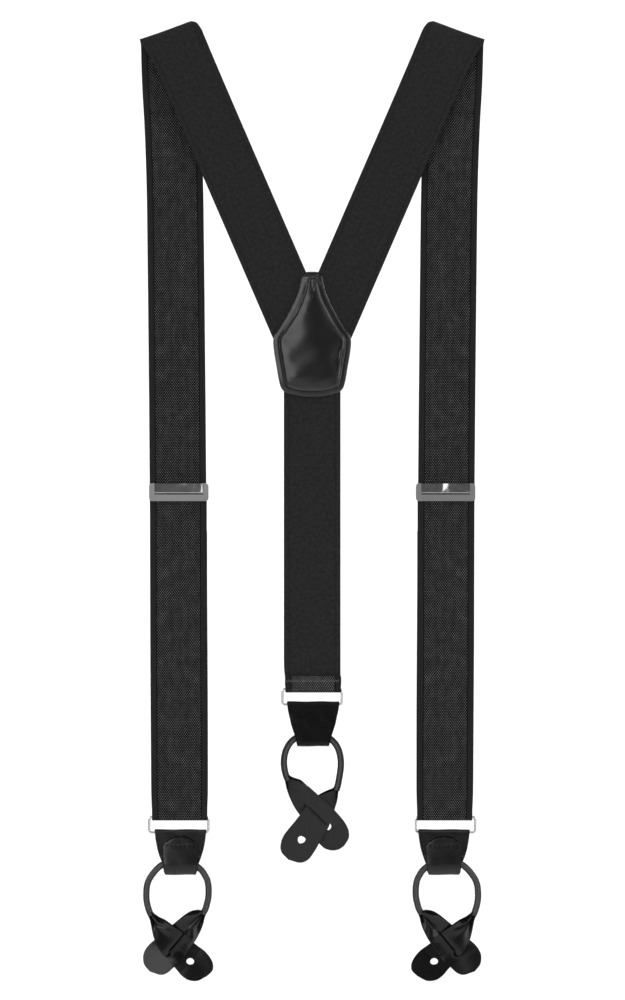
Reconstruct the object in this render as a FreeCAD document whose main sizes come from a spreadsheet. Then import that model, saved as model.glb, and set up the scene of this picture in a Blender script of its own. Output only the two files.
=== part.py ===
# Y-back button suspenders with leather button ends.
# Frame: millimetres. +Z up, +X to the wearer's right, +Y towards the wearer's front (away from the back patch).
# The origin is midway between the two shoulder folds, on the level where a hanger or the shoulders carry the straps.
import FreeCAD, Part
import math
import os

from FreeCAD import Vector, Placement, Rotation

V2 = lambda x, y: Vector(x, y, 0)
doc = FreeCAD.newDocument("Suspenders")

# ---------------------------------------------------------------- driving dimensions
DIMS = [
    ("web_width", 34.6, "width of the elastic webbing"),
    ("web_thick", 1.2, "thickness of the webbing"),
    ("turn_width", 33.2, "webbing width where it turns in a ring"),
    ("leather", 1.2, "thickness of the tab leather"),
    ("patch_leather", 1.3, "thickness of the back patch leather"),
    ("ear_thick", 1.5, "thickness of a buttonhole ear"),
    ("wire_dia", 1.6, "ring wire"),
    ("ring_inner_w", 34.8, "clear width of a ring"),
    ("ring_pitch", 9.4, "between the centres of a ring's two bars"),
    ("ring_corner", 1.5, "corner radius of a ring's centreline"),
    ("cord_dia", 3.7, "rolled leather cord, outside"),
    ("core_dia", 1.8, "cord filler"),
    ("front_loop_rad", 19.3, "centreline radius of the front cord loops"),
    ("rear_loop_rad", 17.5, "centreline radius of the rear cord loop"),
    ("button_hole_dia", 4.8, "round end of a buttonhole"),
    ("slit_width", 0.5, "slit of a buttonhole"),
    ("front_x", 82.0, "front strap centre from the middle plane"),
    ("front_y", 7.5, "near face of the front strap"),
    ("fold_x", 87.0, "shoulder fold centre from the middle plane"),
    ("fold_z", -4.0, "height of the fold axis"),
    ("fold_y", 4.35, "depth of the fold axis"),
    ("fold_slope", 14.0, "slope of the fold axis, degrees"),
    ("fold_in_rad", 3.15, "inner radius of the shoulder fold"),
    ("fold_len", 35.2, "length of the fold across the webbing"),
    ("back_y", 0.0, "near face of the back straps"),
    ("rear_y", 1.4, "near face of the rear strap"),
    ("adj_z", -283.8, "height of the adjusters"),
    ("adj_width", 36.6, "adjuster outside width"),
    ("adj_height", 11.0, "adjuster outside height"),
    ("adj_wall", 0.6, "adjuster side wall"),
    ("lever_width", 29.2, "width of the adjuster's lever"),
    ("pin_dia", 1.0, "lever hinge pin"),
    ("bar_dia", 1.6, "bar that carries the strap end"),
    ("front_turn_z", -482.8, "centre of the front webbing turn"),
    ("front_turn_rad", 1.7, "inner radius of the front webbing turn"),
    ("rear_turn_z", -404.35, "centre of the rear webbing turn"),
    ("rear_turn_rad", 1.3, "inner radius of the rear webbing turn"),
    ("tab_height", 27.1, "leather tab, top fold to bottom fold"),
    ("tab_top_w", 31.8, "leather tab width at the ring"),
    ("tab_low_w", 18.4, "leather tab width at the bottom fold"),
    ("flap_w", 21.0, "flap that holds the cord"),
    ("tab_top_rad", 1.55, "inner radius of the tab's top fold"),
    ("tab_low_rad", 2.15, "inner radius of the tab's bottom fold"),
    ("thread_dia", 0.7, "sewing thread, laid as a seam"),
]
sheet = doc.addObject("Spreadsheet::Sheet", "Dims")
for i, (alias, value, note) in enumerate(DIMS, start=1):
    sheet.set("A%d" % i, note)
    sheet.set("B%d" % i, str(value))
    sheet.setAlias("B%d" % i, alias)
doc.recompute()
D = {alias: float(sheet.get(alias)) for alias, _, _ in DIMS}
web_t, lea = D["web_thick"], D["leather"]

parts = []  # the objects that are sub-parts, by Label


def keep(obj, label):
    obj.Label = label
    parts.append((label, obj))
    return obj


# ---------------------------------------------------------------- sketch and body helpers
def plane(body, role):
    return [f for f in body.Origin.OriginFeatures if f.Role == role][0]


def same(a, b):
    return (a - b).Length < 1e-6


def line(a, b):
    return Part.LineSegment(V2(*a), V2(*b))


def arc(c, r, a0, a1):
    """Arc about c, counter-clockwise from a0 to a1, in degrees."""
    return Part.ArcOfCircle(Part.Circle(V2(*c), Vector(0, 0, 1), r), math.radians(a0), math.radians(a1))


def poly(points):
    return [line(points[i], points[(i + 1) % len(points)]) for i in range(len(points))]


def sketch(body, name, role, offset, loops):
    """A sketch on one of the body's own origin planes. offset is along the plane's normal: X for YZ, minus Y for XZ."""
    sk = body.newObject("Sketcher::SketchObject", name)
    sk.AttachmentSupport = [(plane(body, role), "")]
    sk.MapMode = "FlatFace"
    sk.AttachmentOffset = Placement(Vector(0, 0, offset), Rotation())
    for edges in loops:
        first = sk.GeometryCount
        sk.addGeometry(edges, False)
        n = len(edges)
        if n < 2:
            continue
        ends = [(e.StartPoint, e.EndPoint) for e in edges]
        for i in range(n):
            j = (i + 1) % n
            for pi in (1, 2):
                for pj in (1, 2):
                    if same(ends[i][pi - 1], ends[j][pj - 1]) and not (n == 2 and i == 1 and pi == 1):
                        import Sketcher
                        try:
                            sk.addConstraint(Sketcher.Constraint("Coincident", first + i, pi, first + j, pj))
                        except Exception:
                            pass
    return sk


def new_body(label):
    body = doc.addObject("PartDesign::Body", label)
    return keep(body, label)


def pad(body, name, sk, length=None, alias=None, mid=False, rev=False):
    p = body.newObject("PartDesign::Pad", name)
    p.Profile = sk
    if alias:
        p.setExpression("Length", alias if "." in alias else "Dims." + alias)
    else:
        p.Length = length
    p.Midplane = mid
    p.Reversed = rev
    sk.Visibility = False
    return p


def plate(label, outline, y0, alias, mirror=1):
    """Flat piece lying in the XZ plane, from y0 to y0 plus its thickness."""
    body = new_body(label)
    pts = [(mirror * x, z) for x, z in outline]
    sk = sketch(body, label + "_outline", "XZ_Plane", -(y0 + D[alias]), [poly(pts)])
    pad(body, label + "_pad", sk, alias=alias)
    return body


def strip(label, x, loops, alias):
    """Folded strip: a profile in the YZ plane, padded both ways across the webbing."""
    body = new_body(label)
    sk = sketch(body, label + "_profile", "YZ_Plane", x, loops)
    pad(body, label + "_pad", sk, alias=alias, mid=True)
    return body


def turn(ya, yb, zc, r_in, t, za, zb, up=True, s=1):
    """U profile in (y, z): legs at ya side and yb side, joined by a half turn below (up=True) or above."""
    yc = (ya + yb) / 2
    ro = r_in + t
    if up:
        return [
            line((yc - ro, za), (yc - ro, zc)),
            arc((yc, zc), ro, 180, 360),
            line((yc + ro, zc), (yc + ro, zb)),
            line((yc + ro, zb), (yc + r_in, zb)),
            line((yc + r_in, zb), (yc + r_in, zc)),
            arc((yc, zc), r_in, 180, 360),
            line((yc - r_in, zc), (yc - r_in, za)),
            line((yc - r_in, za), (yc - ro, za)),
        ]
    return [
        line((yc - ro, za), (yc - ro, zc)),
        arc((yc, zc), ro, 0, 180),
        line((yc + ro, zc), (yc + ro, zb)),
        line((yc + ro, zb), (yc + r_in, zb)),
        line((yc + r_in, zb), (yc + r_in, zc)),
        arc((yc, zc), r_in, 0, 180),
        line((yc - r_in, zc), (yc - r_in, za)),
        line((yc - r_in, za), (yc - ro, za)),
    ]


# ---------------------------------------------------------------- webbing
# Back straps: from the patch up to the shoulder fold, 23.4 degrees off the vertical.
SL = math.radians(D["fold_slope"])
half = D["web_width"] / 2
lean = math.radians(23.4)
dirx, dirz = math.sin(lean), math.cos(lean)  # unit vector down the strap is (dirx, -dirz)


def on_fold(x):
    """Height of the fold axis line at x, on the left (negative x) side."""
    return D["fold_z"] + (x + D["fold_x"]) * math.tan(SL)


def meet(p, d):
    """Where a line from p along d meets the fold line."""
    t = (D["fold_z"] + (p[0] + D["fold_x"]) * math.tan(SL) - p[1]) / (d[1] - d[0] * math.tan(SL))
    return (p[0] + d[0] * t, p[1] + d[1] * t)


c0 = (-D["fold_x"], D["fold_z"])
nx, nz = dirz, dirx  # across the back strap, to the right and up
el = (c0[0] - nx * half, c0[1] - nz * half)
er = (c0[0] + nx * half, c0[1] + nz * half)
top_l, top_r = meet(el, (dirx, -dirz)), meet(er, (dirx, -dirz))


def along_to_x(p, x):
    t = (x - p[0]) / dirx
    return (x, p[1] - dirz * t)


def along_to_z(p, z):
    t = (p[1] - z) / dirz
    return (p[0] + dirx * t, z)


crotch = along_to_x(er, -0.1)
foot = along_to_z(el, -206.0)
back_outline = [top_l, top_r, crotch, (-0.1, -206.0), foot]
for side, m in (("left", 1), ("right", -1)):
    plate(side + "_strap_back", back_outline, D["back_y"], "web_thick", m)

# Shoulder folds: half a tube about the fold axis, across the webbing.
for side, m in (("left", 1), ("right", -1)):
    body = new_body(side + "_strap_shoulder_fold")
    ri, ro = D["fold_in_rad"], D["fold_in_rad"] + web_t
    prof = [
        arc((0, 0), ro, 0, 180),
        line((-ro, 0), (-ri, 0)),
        arc((0, 0), ri, 0, 180),
        line((ri, 0), (ro, 0)),
    ]
    sk = sketch(body, body.Name + "_profile", "YZ_Plane", 0, [prof])
    pad(body, body.Name + "_pad", sk, alias="fold_len", mid=True)
    body.Placement = Placement(
        Vector(-m * D["fold_x"], D["fold_y"], D["fold_z"]), Rotation(Vector(0, 1, 0), -m * D["fold_slope"])
    )

# Front straps: from the fold down to the level where the adjustable part begins.
fx, fy = -D["front_x"], D["front_y"]
top_fl = meet((-D["fold_x"] - half, -6.0), (-0.04, 1.0))
top_fr = meet((-D["fold_x"] + half, -6.0), (-0.04, 1.0))
front_split, low_split = -395.0, -476.0
up_z = -108.0  # below this the adjuster can run
upper_outline = [top_fl, top_fr, (fx + half, up_z), (fx - half, up_z)]
front_outline = [(fx - half, up_z), (fx + half, up_z), (fx + half, front_split), (fx - half, front_split)]
yf_far = fy + web_t
ret_y = yf_far + 2 * D["front_turn_rad"]  # near face of the returning layer
zt = D["front_turn_z"]
adj_z = D["adj_z"]
loop_z = adj_z - 2.6  # the bar inside the adjuster
hem_low = adj_z - 24.0
for side, m in (("left", 1), ("right", -1)):
    plate(side + "_strap_upper", upper_outline, fy, "web_thick", m)
    plate(side + "_strap_front", front_outline, fy, "web_thick", m)
    th = D["turn_width"] / 2
    plate(
        side + "_strap_front_lower",
        [(fx - half, front_split), (fx + half, front_split), (fx + th, low_split), (fx - th, low_split)],
        fy,
        "web_thick",
        m,
    )
    strip(
        side + "_strap_ring_turn",
        m * fx,
        [turn(fy, ret_y + web_t, zt, D["front_turn_rad"], web_t, low_split, low_split)],
        "turn_width",
    )
    plate(
        side + "_strap_return",
        [(fx - half, hem_low), (fx + half, hem_low), (fx + th, low_split), (fx - th, low_split)],
        ret_y,
        "web_thick",
        m,
    )
    # the strap's end, looped over the adjuster's bar and sewn down on itself
    bar_y = ret_y - 1.0
    strip(
        side + "_strap_end_loop",
        m * fx,
        [turn(bar_y - 2.2, bar_y + 2.2, loop_z, 1.0, web_t, hem_low, hem_low, up=False)],
        "web_width",
    )

# Rear strap: inside the patch down to the ring, with its sewn hem.
ry = D["rear_y"]
rear_split, rear_low = -300.0, -388.0
plate("rear_strap", [(-half, -186.0), (half, -186.0), (half - 0.2, rear_split), (-half + 0.2, rear_split)], ry, "web_thick")
rt = D["turn_width"] / 2
plate("rear_strap_lower", [(-half + 0.2, rear_split), (half - 0.2, rear_split), (rt, rear_low), (-rt, rear_low)], ry, "web_thick")
rz, rr = D["rear_turn_z"], D["rear_turn_rad"]
yc_rear = ry - rr
near0, near1 = yc_rear - rr, yc_rear - rr - web_t
hem_edges = [
    line((ry + web_t, rear_low), (ry, rear_low)),
    line((ry, rear_low), (ry, rz)),
    arc((yc_rear, rz), rr, 180, 360),
    line((near0, rz), (near0, rz + 1.6)),
    line((near0, rz + 1.6), (ry - 0.12, rz + 4.6)),
    line((ry - 0.12, rz + 4.6), (ry - 0.12, rz + 7.6)),
    line((ry - 0.12, rz + 7.6), (ry - 0.12 - web_t, rz + 7.6)),
    line((ry - 0.12 - web_t, rz + 7.6), (ry - 0.12 - web_t, rz + 4.9)),
    line((ry - 0.12 - web_t, rz + 4.9), (near1, rz + 2.0)),
    line((near1, rz + 2.0), (near1, rz)),
    arc((yc_rear, rz), rr + web_t, 180, 360),
    line((ry + web_t, rz), (ry + web_t, rear_low)),
]
strip("rear_strap_hem", 0, [hem_edges], "turn_width")


# ---------------------------------------------------------------- rings
def ring(label, x, y, z_top):
    """Rectangular wire ring whose top bar is at z_top."""
    body = new_body(label)
    hw = D["ring_inner_w"] / 2 + D["wire_dia"] / 2
    rc, z0, z1 = D["ring_corner"], z_top, z_top - D["ring_pitch"]
    path = [
        line((x, z0), (x + hw - rc, z0)),
        arc((x + hw - rc, z0 - rc), rc, 0, 90),
        line((x + hw, z0 - rc), (x + hw, z1 + rc)),
        arc((x + hw - rc, z1 + rc), rc, 270, 360),
        line((x + hw - rc, z1), (x - hw + rc, z1)),
        arc((x - hw + rc, z1 + rc), rc, 180, 270),
        line((x - hw, z1 + rc), (x - hw, z0 - rc)),
        arc((x - hw + rc, z0 - rc), rc, 90, 180),
        line((x - hw + rc, z0), (x, z0)),
    ]
    spine = sketch(body, label + "_path", "XZ_Plane", -y, [path])
    prof = body.newObject("Sketcher::SketchObject", label + "_wire")
    prof.AttachmentSupport = [(plane(body, "YZ_Plane"), "")]
    prof.MapMode = "FlatFace"
    prof.AttachmentOffset = Placement(Vector(0, 0, x), Rotation())
    prof.addGeometry(Part.Circle(V2(y, z0), Vector(0, 0, 1), D["wire_dia"] / 2), False)
    import Sketcher
    c = prof.addConstraint(Sketcher.Constraint("Diameter", 0, D["wire_dia"]))
    prof.setExpression("Constraints[%d]" % c, "Dims.wire_dia")
    doc.recompute()
    pipe = body.newObject("PartDesign::AdditivePipe", label + "_pipe")
    pipe.Profile = prof
    pipe.Spine = (spine, ["Edge%d" % (i + 1) for i in range(len(path))])
    spine.Visibility = prof.Visibility = False
    return body


# ---------------------------------------------------------------- leather tab that joins a ring to the cord
def tab(label, x, yr, z_bar, s, mirror=1):
    """Leather tab on a ring's lower bar. s is +1 where its flap faces -Y and -1 where it faces +Y."""
    body = new_body(label)
    r1, r2 = D["tab_top_rad"], D["tab_low_rad"]
    zc1 = z_bar + D["wire_dia"] / 2 + 0.05 - r1
    top = zc1 + r1 + lea
    bottom = top - D["tab_height"]
    zc2 = bottom + lea + r2
    f0, f1 = r1, r1 + lea  # far layer
    n0, n1 = -r1, -r1 - lea  # near layer
    p0 = f0 - 2 * r2  # inner face of the flap
    yc2 = f0 - r2
    z_near = zc2 + 7.6

    def Y(d):
        return yr + s * d

    def A(c, r, a0, a1):
        if s > 0:
            return arc((Y(c[0]), c[1]), r, a0, a1)
        return arc((Y(c[0]), c[1]), r, 180 - a1, 180 - a0)

    prof = [
        line((Y(n1), z_near), (Y(n1), zc1)),
        A((0, zc1), r1 + lea, 0, 180),
        line((Y(f1), zc1), (Y(f1), zc2)),
        A((yc2, zc2), r2 + lea, 180, 360),
        line((Y(p0 - lea), zc2), (Y(p0), zc2)),
        A((yc2, zc2), r2, 180, 360),
        line((Y(f0), zc2), (Y(f0), zc1)),
        A((0, zc1), r1, 0, 180),
        line((Y(n0), zc1), (Y(n0), z_near)),
        line((Y(n0), z_near), (Y(n1), z_near)),
    ]
    sk = sketch(body, label + "_profile", "YZ_Plane", x, [prof])
    pad(body, label + "_pad", sk, length=D["tab_top_w"] + 8, mid=True)
    # flap, lying on the near layer
    fw, lw = D["flap_w"] / 2, D["tab_low_w"] / 2
    seam = zc2 + 14.6
    rise = 5.4
    rad = (fw * fw + rise * rise) / (2 * rise)
    ang = math.degrees(math.asin(fw / rad))
    ya = Y(p0 - lea) if s > 0 else Y(p0)
    flap = [
        line((x - fw, seam), (x - fw, zc2 - 0.0)),
        line((x - fw, zc2), (x + fw, zc2)),
        line((x + fw, zc2), (x + fw, seam)),
        arc((x, seam + rise - rad), rad, 90 - ang, 90 + ang),
    ]
    sk2 = sketch(body, label + "_flap_outline", "XZ_Plane", -(ya + lea), [flap])
    pad(body, label + "_flap", sk2, alias="leather")
    # trim the sides of the far and near layers to the tapered outline
    tw = D["tab_top_w"] / 2
    zk = zc2 + 4.6
    W = tw + 6
    left = [(x - tw, top + 2), (x - tw + 0.7, top - 8), (x - fw - 0.4, zk), (x - fw, zc2 + 1.0), (x - lw, bottom - 1), (x - W, bottom - 1), (x - W, top + 2)]
    right = [(2 * x - px, pz) for px, pz in left]
    sk3 = sketch(body, label + "_taper", "XZ_Plane", -(yr + 9), [poly(left), poly(right)])
    pk = body.newObject("PartDesign::Pocket", label + "_sides")
    pk.Profile = sk3
    pk.Length = 18
    pk.Reversed = True
    for k in (sk, sk2, sk3):
        k.Visibility = False
    doc.recompute()
    return body, dict(top=top, bottom=bottom, zc1=zc1, zc2=zc2, cord_y=Y(yc2), seam=seam, flap_y=Y(p0 - lea), far_y=Y(f1))


# ---------------------------------------------------------------- rolled cord
def cord(label, x, y, zc, radius, outer, inner, reach):
    """Part of a torus about the loop's centre, open at the bottom. reach is how far each end passes the horizontal."""
    body = new_body(label)
    sk = body.newObject("Sketcher::SketchObject", label + "_section")
    sk.AttachmentSupport = [(plane(body, "YZ_Plane"), "")]
    sk.MapMode = "FlatFace"
    sk.AttachmentOffset = Placement(Vector(0, 0, x), Rotation())
    import Sketcher
    sk.addGeometry(Part.Circle(V2(y, zc + radius), Vector(0, 0, 1), D[outer] / 2), False)
    c = sk.addConstraint(Sketcher.Constraint("Diameter", 0, D[outer]))
    sk.setExpression("Constraints[%d]" % c, "Dims." + outer)
    if inner:
        sk.addGeometry(Part.Circle(V2(y, zc + radius), Vector(0, 0, 1), D[inner] / 2), False)
        c = sk.addConstraint(Sketcher.Constraint("Diameter", 1, D[inner]))
        sk.setExpression("Constraints[%d]" % c, "Dims." + inner)
    n = sk.GeometryCount
    sk.addGeometry(Part.LineSegment(V2(y - 5, zc), V2(y + 5, zc)), True)  # turning axis
    rev = body.newObject("PartDesign::Revolution", label + "_sweep")
    rev.Profile = sk
    rev.ReferenceAxis = (sk, ["Edge%d" % (n + 1)]) if False else (sk, ["Axis0"])
    rev.Angle = 180 + 2 * reach
    rev.Midplane = True
    sk.Visibility = False
    return body


# ---------------------------------------------------------------- buttonhole ears
def ear_outline(length, end_r, throat=1.8, waist=7.2):
    """Face in (s, v): s along the ear from the cord, v across it."""
    pts = [(-0.8, throat), (3.0, 3.9), (7.5, 6.4), (13.0, waist), (20.0, waist + 0.2), (27.0, waist + 0.9)]
    # where the side runs into the round end
    a = math.radians(128)
    join = (length + end_r * math.cos(a), end_r * math.sin(a))
    pts = [p for p in pts if p[0] < join[0] - 2.5] + [join]
    up = Part.BSplineCurve()
    up.interpolate([Vector(s, 0, v) for s, v in pts])
    dn = Part.BSplineCurve()
    dn.interpolate([Vector(s, 0, -v) for s, v in pts])
    tip = Part.Arc(Vector(join[0], 0, join[1]), Vector(length + end_r, 0, 0), Vector(join[0], 0, -join[1]))
    root = Part.LineSegment(Vector(-0.8, 0, throat), Vector(-0.8, 0, -throat))
    wire = Part.Wire(Part.__sortEdges__([up.toShape(), tip.toShape(), dn.toShape(), root.toShape()]))
    return Part.Face(wire)


def prism(face, y0, y1):
    f = face.copy()
    f.translate(Vector(0, y0, 0))
    return f.extrude(Vector(0, y1 - y0, 0))


def ear(label, root, tip, end_r, hole_s, slit_s, spread=0.0, near_v=1, y=0.0, waist=7.2, clear_of=()):
    """Ear from root to the centre of its round end. With spread, the two sides of its slit stand apart for the other ear."""
    dx, dz = tip[0] - root[0], tip[1] - root[1]
    length = math.hypot(dx, dz)
    t = D["ear_thick"]
    body = prism(ear_outline(length, end_r, waist=waist), -t / 2, t / 2) if not spread else None
    g = D["slit_width"] / 2
    hole = Part.makeCylinder(D["button_hole_dia"] / 2, 12, Vector(hole_s, -6, 0), Vector(0, 1, 0))
    if not spread:
        slit = Part.makeBox(hole_s - slit_s, 12, 2 * g, Vector(slit_s, -6, -g))
        body = body.cut(hole.fuse(slit))
    else:
        full = prism(ear_outline(length, end_r, waist=waist), -6, 6)
        a, b, c, d = slit_s - 5.5, slit_s + 0.4, hole_s - D["button_hole_dia"] / 2 - 2.6, hole_s - D["button_hole_dia"] / 2 - 0.1

        def half_strip(sign_y, v0, v1):
            o = sign_y * spread
            line_pts = [(-3, 0), (a, 0), (b, o), (c, o), (d, 0), (length + end_r + 2, 0)]
            low = [Vector(s, yy - t / 2, v0) for s, yy in line_pts]
            high = [Vector(s, yy + t / 2, v0) for s, yy in reversed(line_pts)]
            f = Part.Face(Part.makePolygon(low + high + [low[0]]))
            return f.extrude(Vector(0, 0, v1 - v0))

        one = half_strip(-1, g, 14) if near_v > 0 else half_strip(1, g, 14)
        two = half_strip(1, -14, -g) if near_v > 0 else half_strip(-1, -14, -g)
        root_fill = Part.makeBox(a + 3, t, 2 * g, Vector(-3, -t / 2, -g))
        tip_fill = Part.makeBox(length + end_r + 2 - d, t, 2 * g, Vector(d, -t / 2, -g))
        body = one.fuse([two, root_fill, tip_fill]).removeSplitter().common(full).cut(hole)
    if body.ShapeType != "Solid":
        body = body.Solids[0] if len(body.Solids) == 1 else body
    obj = doc.addObject("Part::Feature", label)
    theta = math.degrees(math.atan2(-dz, dx))
    place = Placement(Vector(root[0], y, root[1]), Rotation(Vector(0, 1, 0), theta))
    for other in clear_of:
        s = other.copy()
        s.transformShape(place.inverse().toMatrix())
        body = body.cut(s)
    if len(body.Solids) > 1:
        body = max(body.Solids, key=lambda q: q.Volume)
    obj.Shape = body
    obj.Placement = place
    keep(obj, label)
    ux, uz = dx / length, dz / length
    doc.recompute()
    return obj, (root[0] + ux * hole_s, y, root[1] + uz * hole_s)


def stitches(label, places, length, y0, across=False):
    """Thread of a seam: one short rod for each stitch, through the layers from y0."""
    obj = doc.addObject("Part::Feature", label)
    r = D["thread_dia"] / 2
    obj.Shape = Part.makeCompound([Part.makeCylinder(r, length, Vector(x, y0, z), Vector(0, 1, 0)) for x, z in places])
    return keep(obj, label)


# ---------------------------------------------------------------- the three button ends
FACTS = {}


def button_end(side, x, yr, z_top_bar, s, loop_alias, drop, ears, m):
    """Ring, tab, stitches, cord, core and ears below a webbing turn."""
    ring(side + "_ring", x, yr, z_top_bar)
    z_bar = z_top_bar - D["ring_pitch"]
    body, f = tab(side + "_leather_tab", x, yr, z_bar, s)
    n = 8
    lo, hi = min(f["flap_y"], f["far_y"]), max(f["flap_y"], f["far_y"])
    stitches(
        side + "_tab_stitching",
        [(x + (i - (n - 1) / 2) * 2.6, f["seam"] + 0.4) for i in range(n)],
        hi - lo + 0.5,
        lo - 0.25,
    )
    R = D[loop_alias]
    zc = f["bottom"] + drop - R
    cy = f["cord_y"]
    reach = ears["reach"]
    outer = cord(side + "_rolled_cord", x, cy, zc, R, "cord_dia", "core_dia", reach)
    core = cord(side + "_cord_core", x, cy, zc, R, "core_dia", None, reach - 1.0)
    doc.recompute()
    a = math.radians(reach)
    holes = {}
    clear_of = [outer.Shape, core.Shape]
    for kind in ("threaded", "slit"):
        e = ears[kind]
        sx = e["from"] * m  # which end of the cord, mirrored on the right
        root = (x + sx * R * math.cos(a), zc - R * math.sin(a))
        tip = (x + m * e["tip"][0], zc + e["tip"][1])
        made, holes[kind] = ear(
            side + ("_ear_outer" if kind == "slit" else "_ear_threaded"),
            root,
            tip,
            e["r"],
            e["hole"],
            e["slit"],
            spread=1.62 if kind == "slit" else 0.0,
            near_v=e.get("near_v", 1),
            y=cy,
            waist=7.2 if kind == "slit" else 5.9,
            clear_of=clear_of,
        )
        clear_of.append(made.Shape)
    FACTS[side] = dict(f, zc=zc, x=x, ring_y=yr, z_top_bar=z_top_bar, z_bar=z_bar, holes=holes, R=R, cord_y=cy)


front_ears = {
    "reach": 34.0,
    "slit": {"from": 1, "tip": (-11.9, -40.5), "r": 10.2, "hole": 36.4, "slit": 15.2},
    "threaded": {"from": -1, "tip": (9.8, -43.2), "r": 11.2, "hole": 39.0, "slit": 18.0},
}
rear_ears = {
    "reach": 38.0,
    "slit": {"from": -1, "tip": (12.6, -43.85), "r": 10.0, "hole": 37.1, "slit": 15.6, "near_v": 1},
    "threaded": {"from": 1, "tip": (-8.4, -50.4), "r": 11.0, "hole": 41.9, "slit": 19.0},
}
ring_y = fy + web_t + D["front_turn_rad"]
z_top_front = zt - D["front_turn_rad"] + D["wire_dia"] / 2 + 0.05
for side, m in (("left", 1), ("right", -1)):
    ears = {k: (dict(v) if isinstance(v, dict) else v) for k, v in front_ears.items()}
    ears["slit"]["near_v"] = 1 if m > 0 else -1
    button_end(side, m * fx, ring_y, z_top_front, 1, "front_loop_rad", 7.4, ears, m)
z_top_rear = rz - rr + D["wire_dia"] / 2 + 0.05
button_end("rear", 0.0, yc_rear, z_top_rear, -1, "rear_loop_rad", 6.8, rear_ears, 1)

# ---------------------------------------------------------------- adjusters
hh = D["adj_height"] / 2
inner_x = D["adj_width"] / 2 - D["adj_wall"]
pin_y, pin_z = fy - 1.1, adj_z + 0.0
bar_y = ret_y - 1.0
far_y = ret_y + web_t + 0.2
near_bar_y = fy - 1.9


def box(body, name, x0, x1, y0, y1, z0, z1, sub=False):
    b = body.newObject("PartDesign::SubtractiveBox" if sub else "PartDesign::AdditiveBox", name)
    b.Length, b.Width, b.Height = x1 - x0, y1 - y0, z1 - z0
    b.AttachmentSupport = [(plane(body, "XY_Plane"), "")]
    b.MapMode = "FlatFace"
    b.AttachmentOffset = Placement(Vector(x0, y0, z0), Rotation())
    return b


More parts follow.
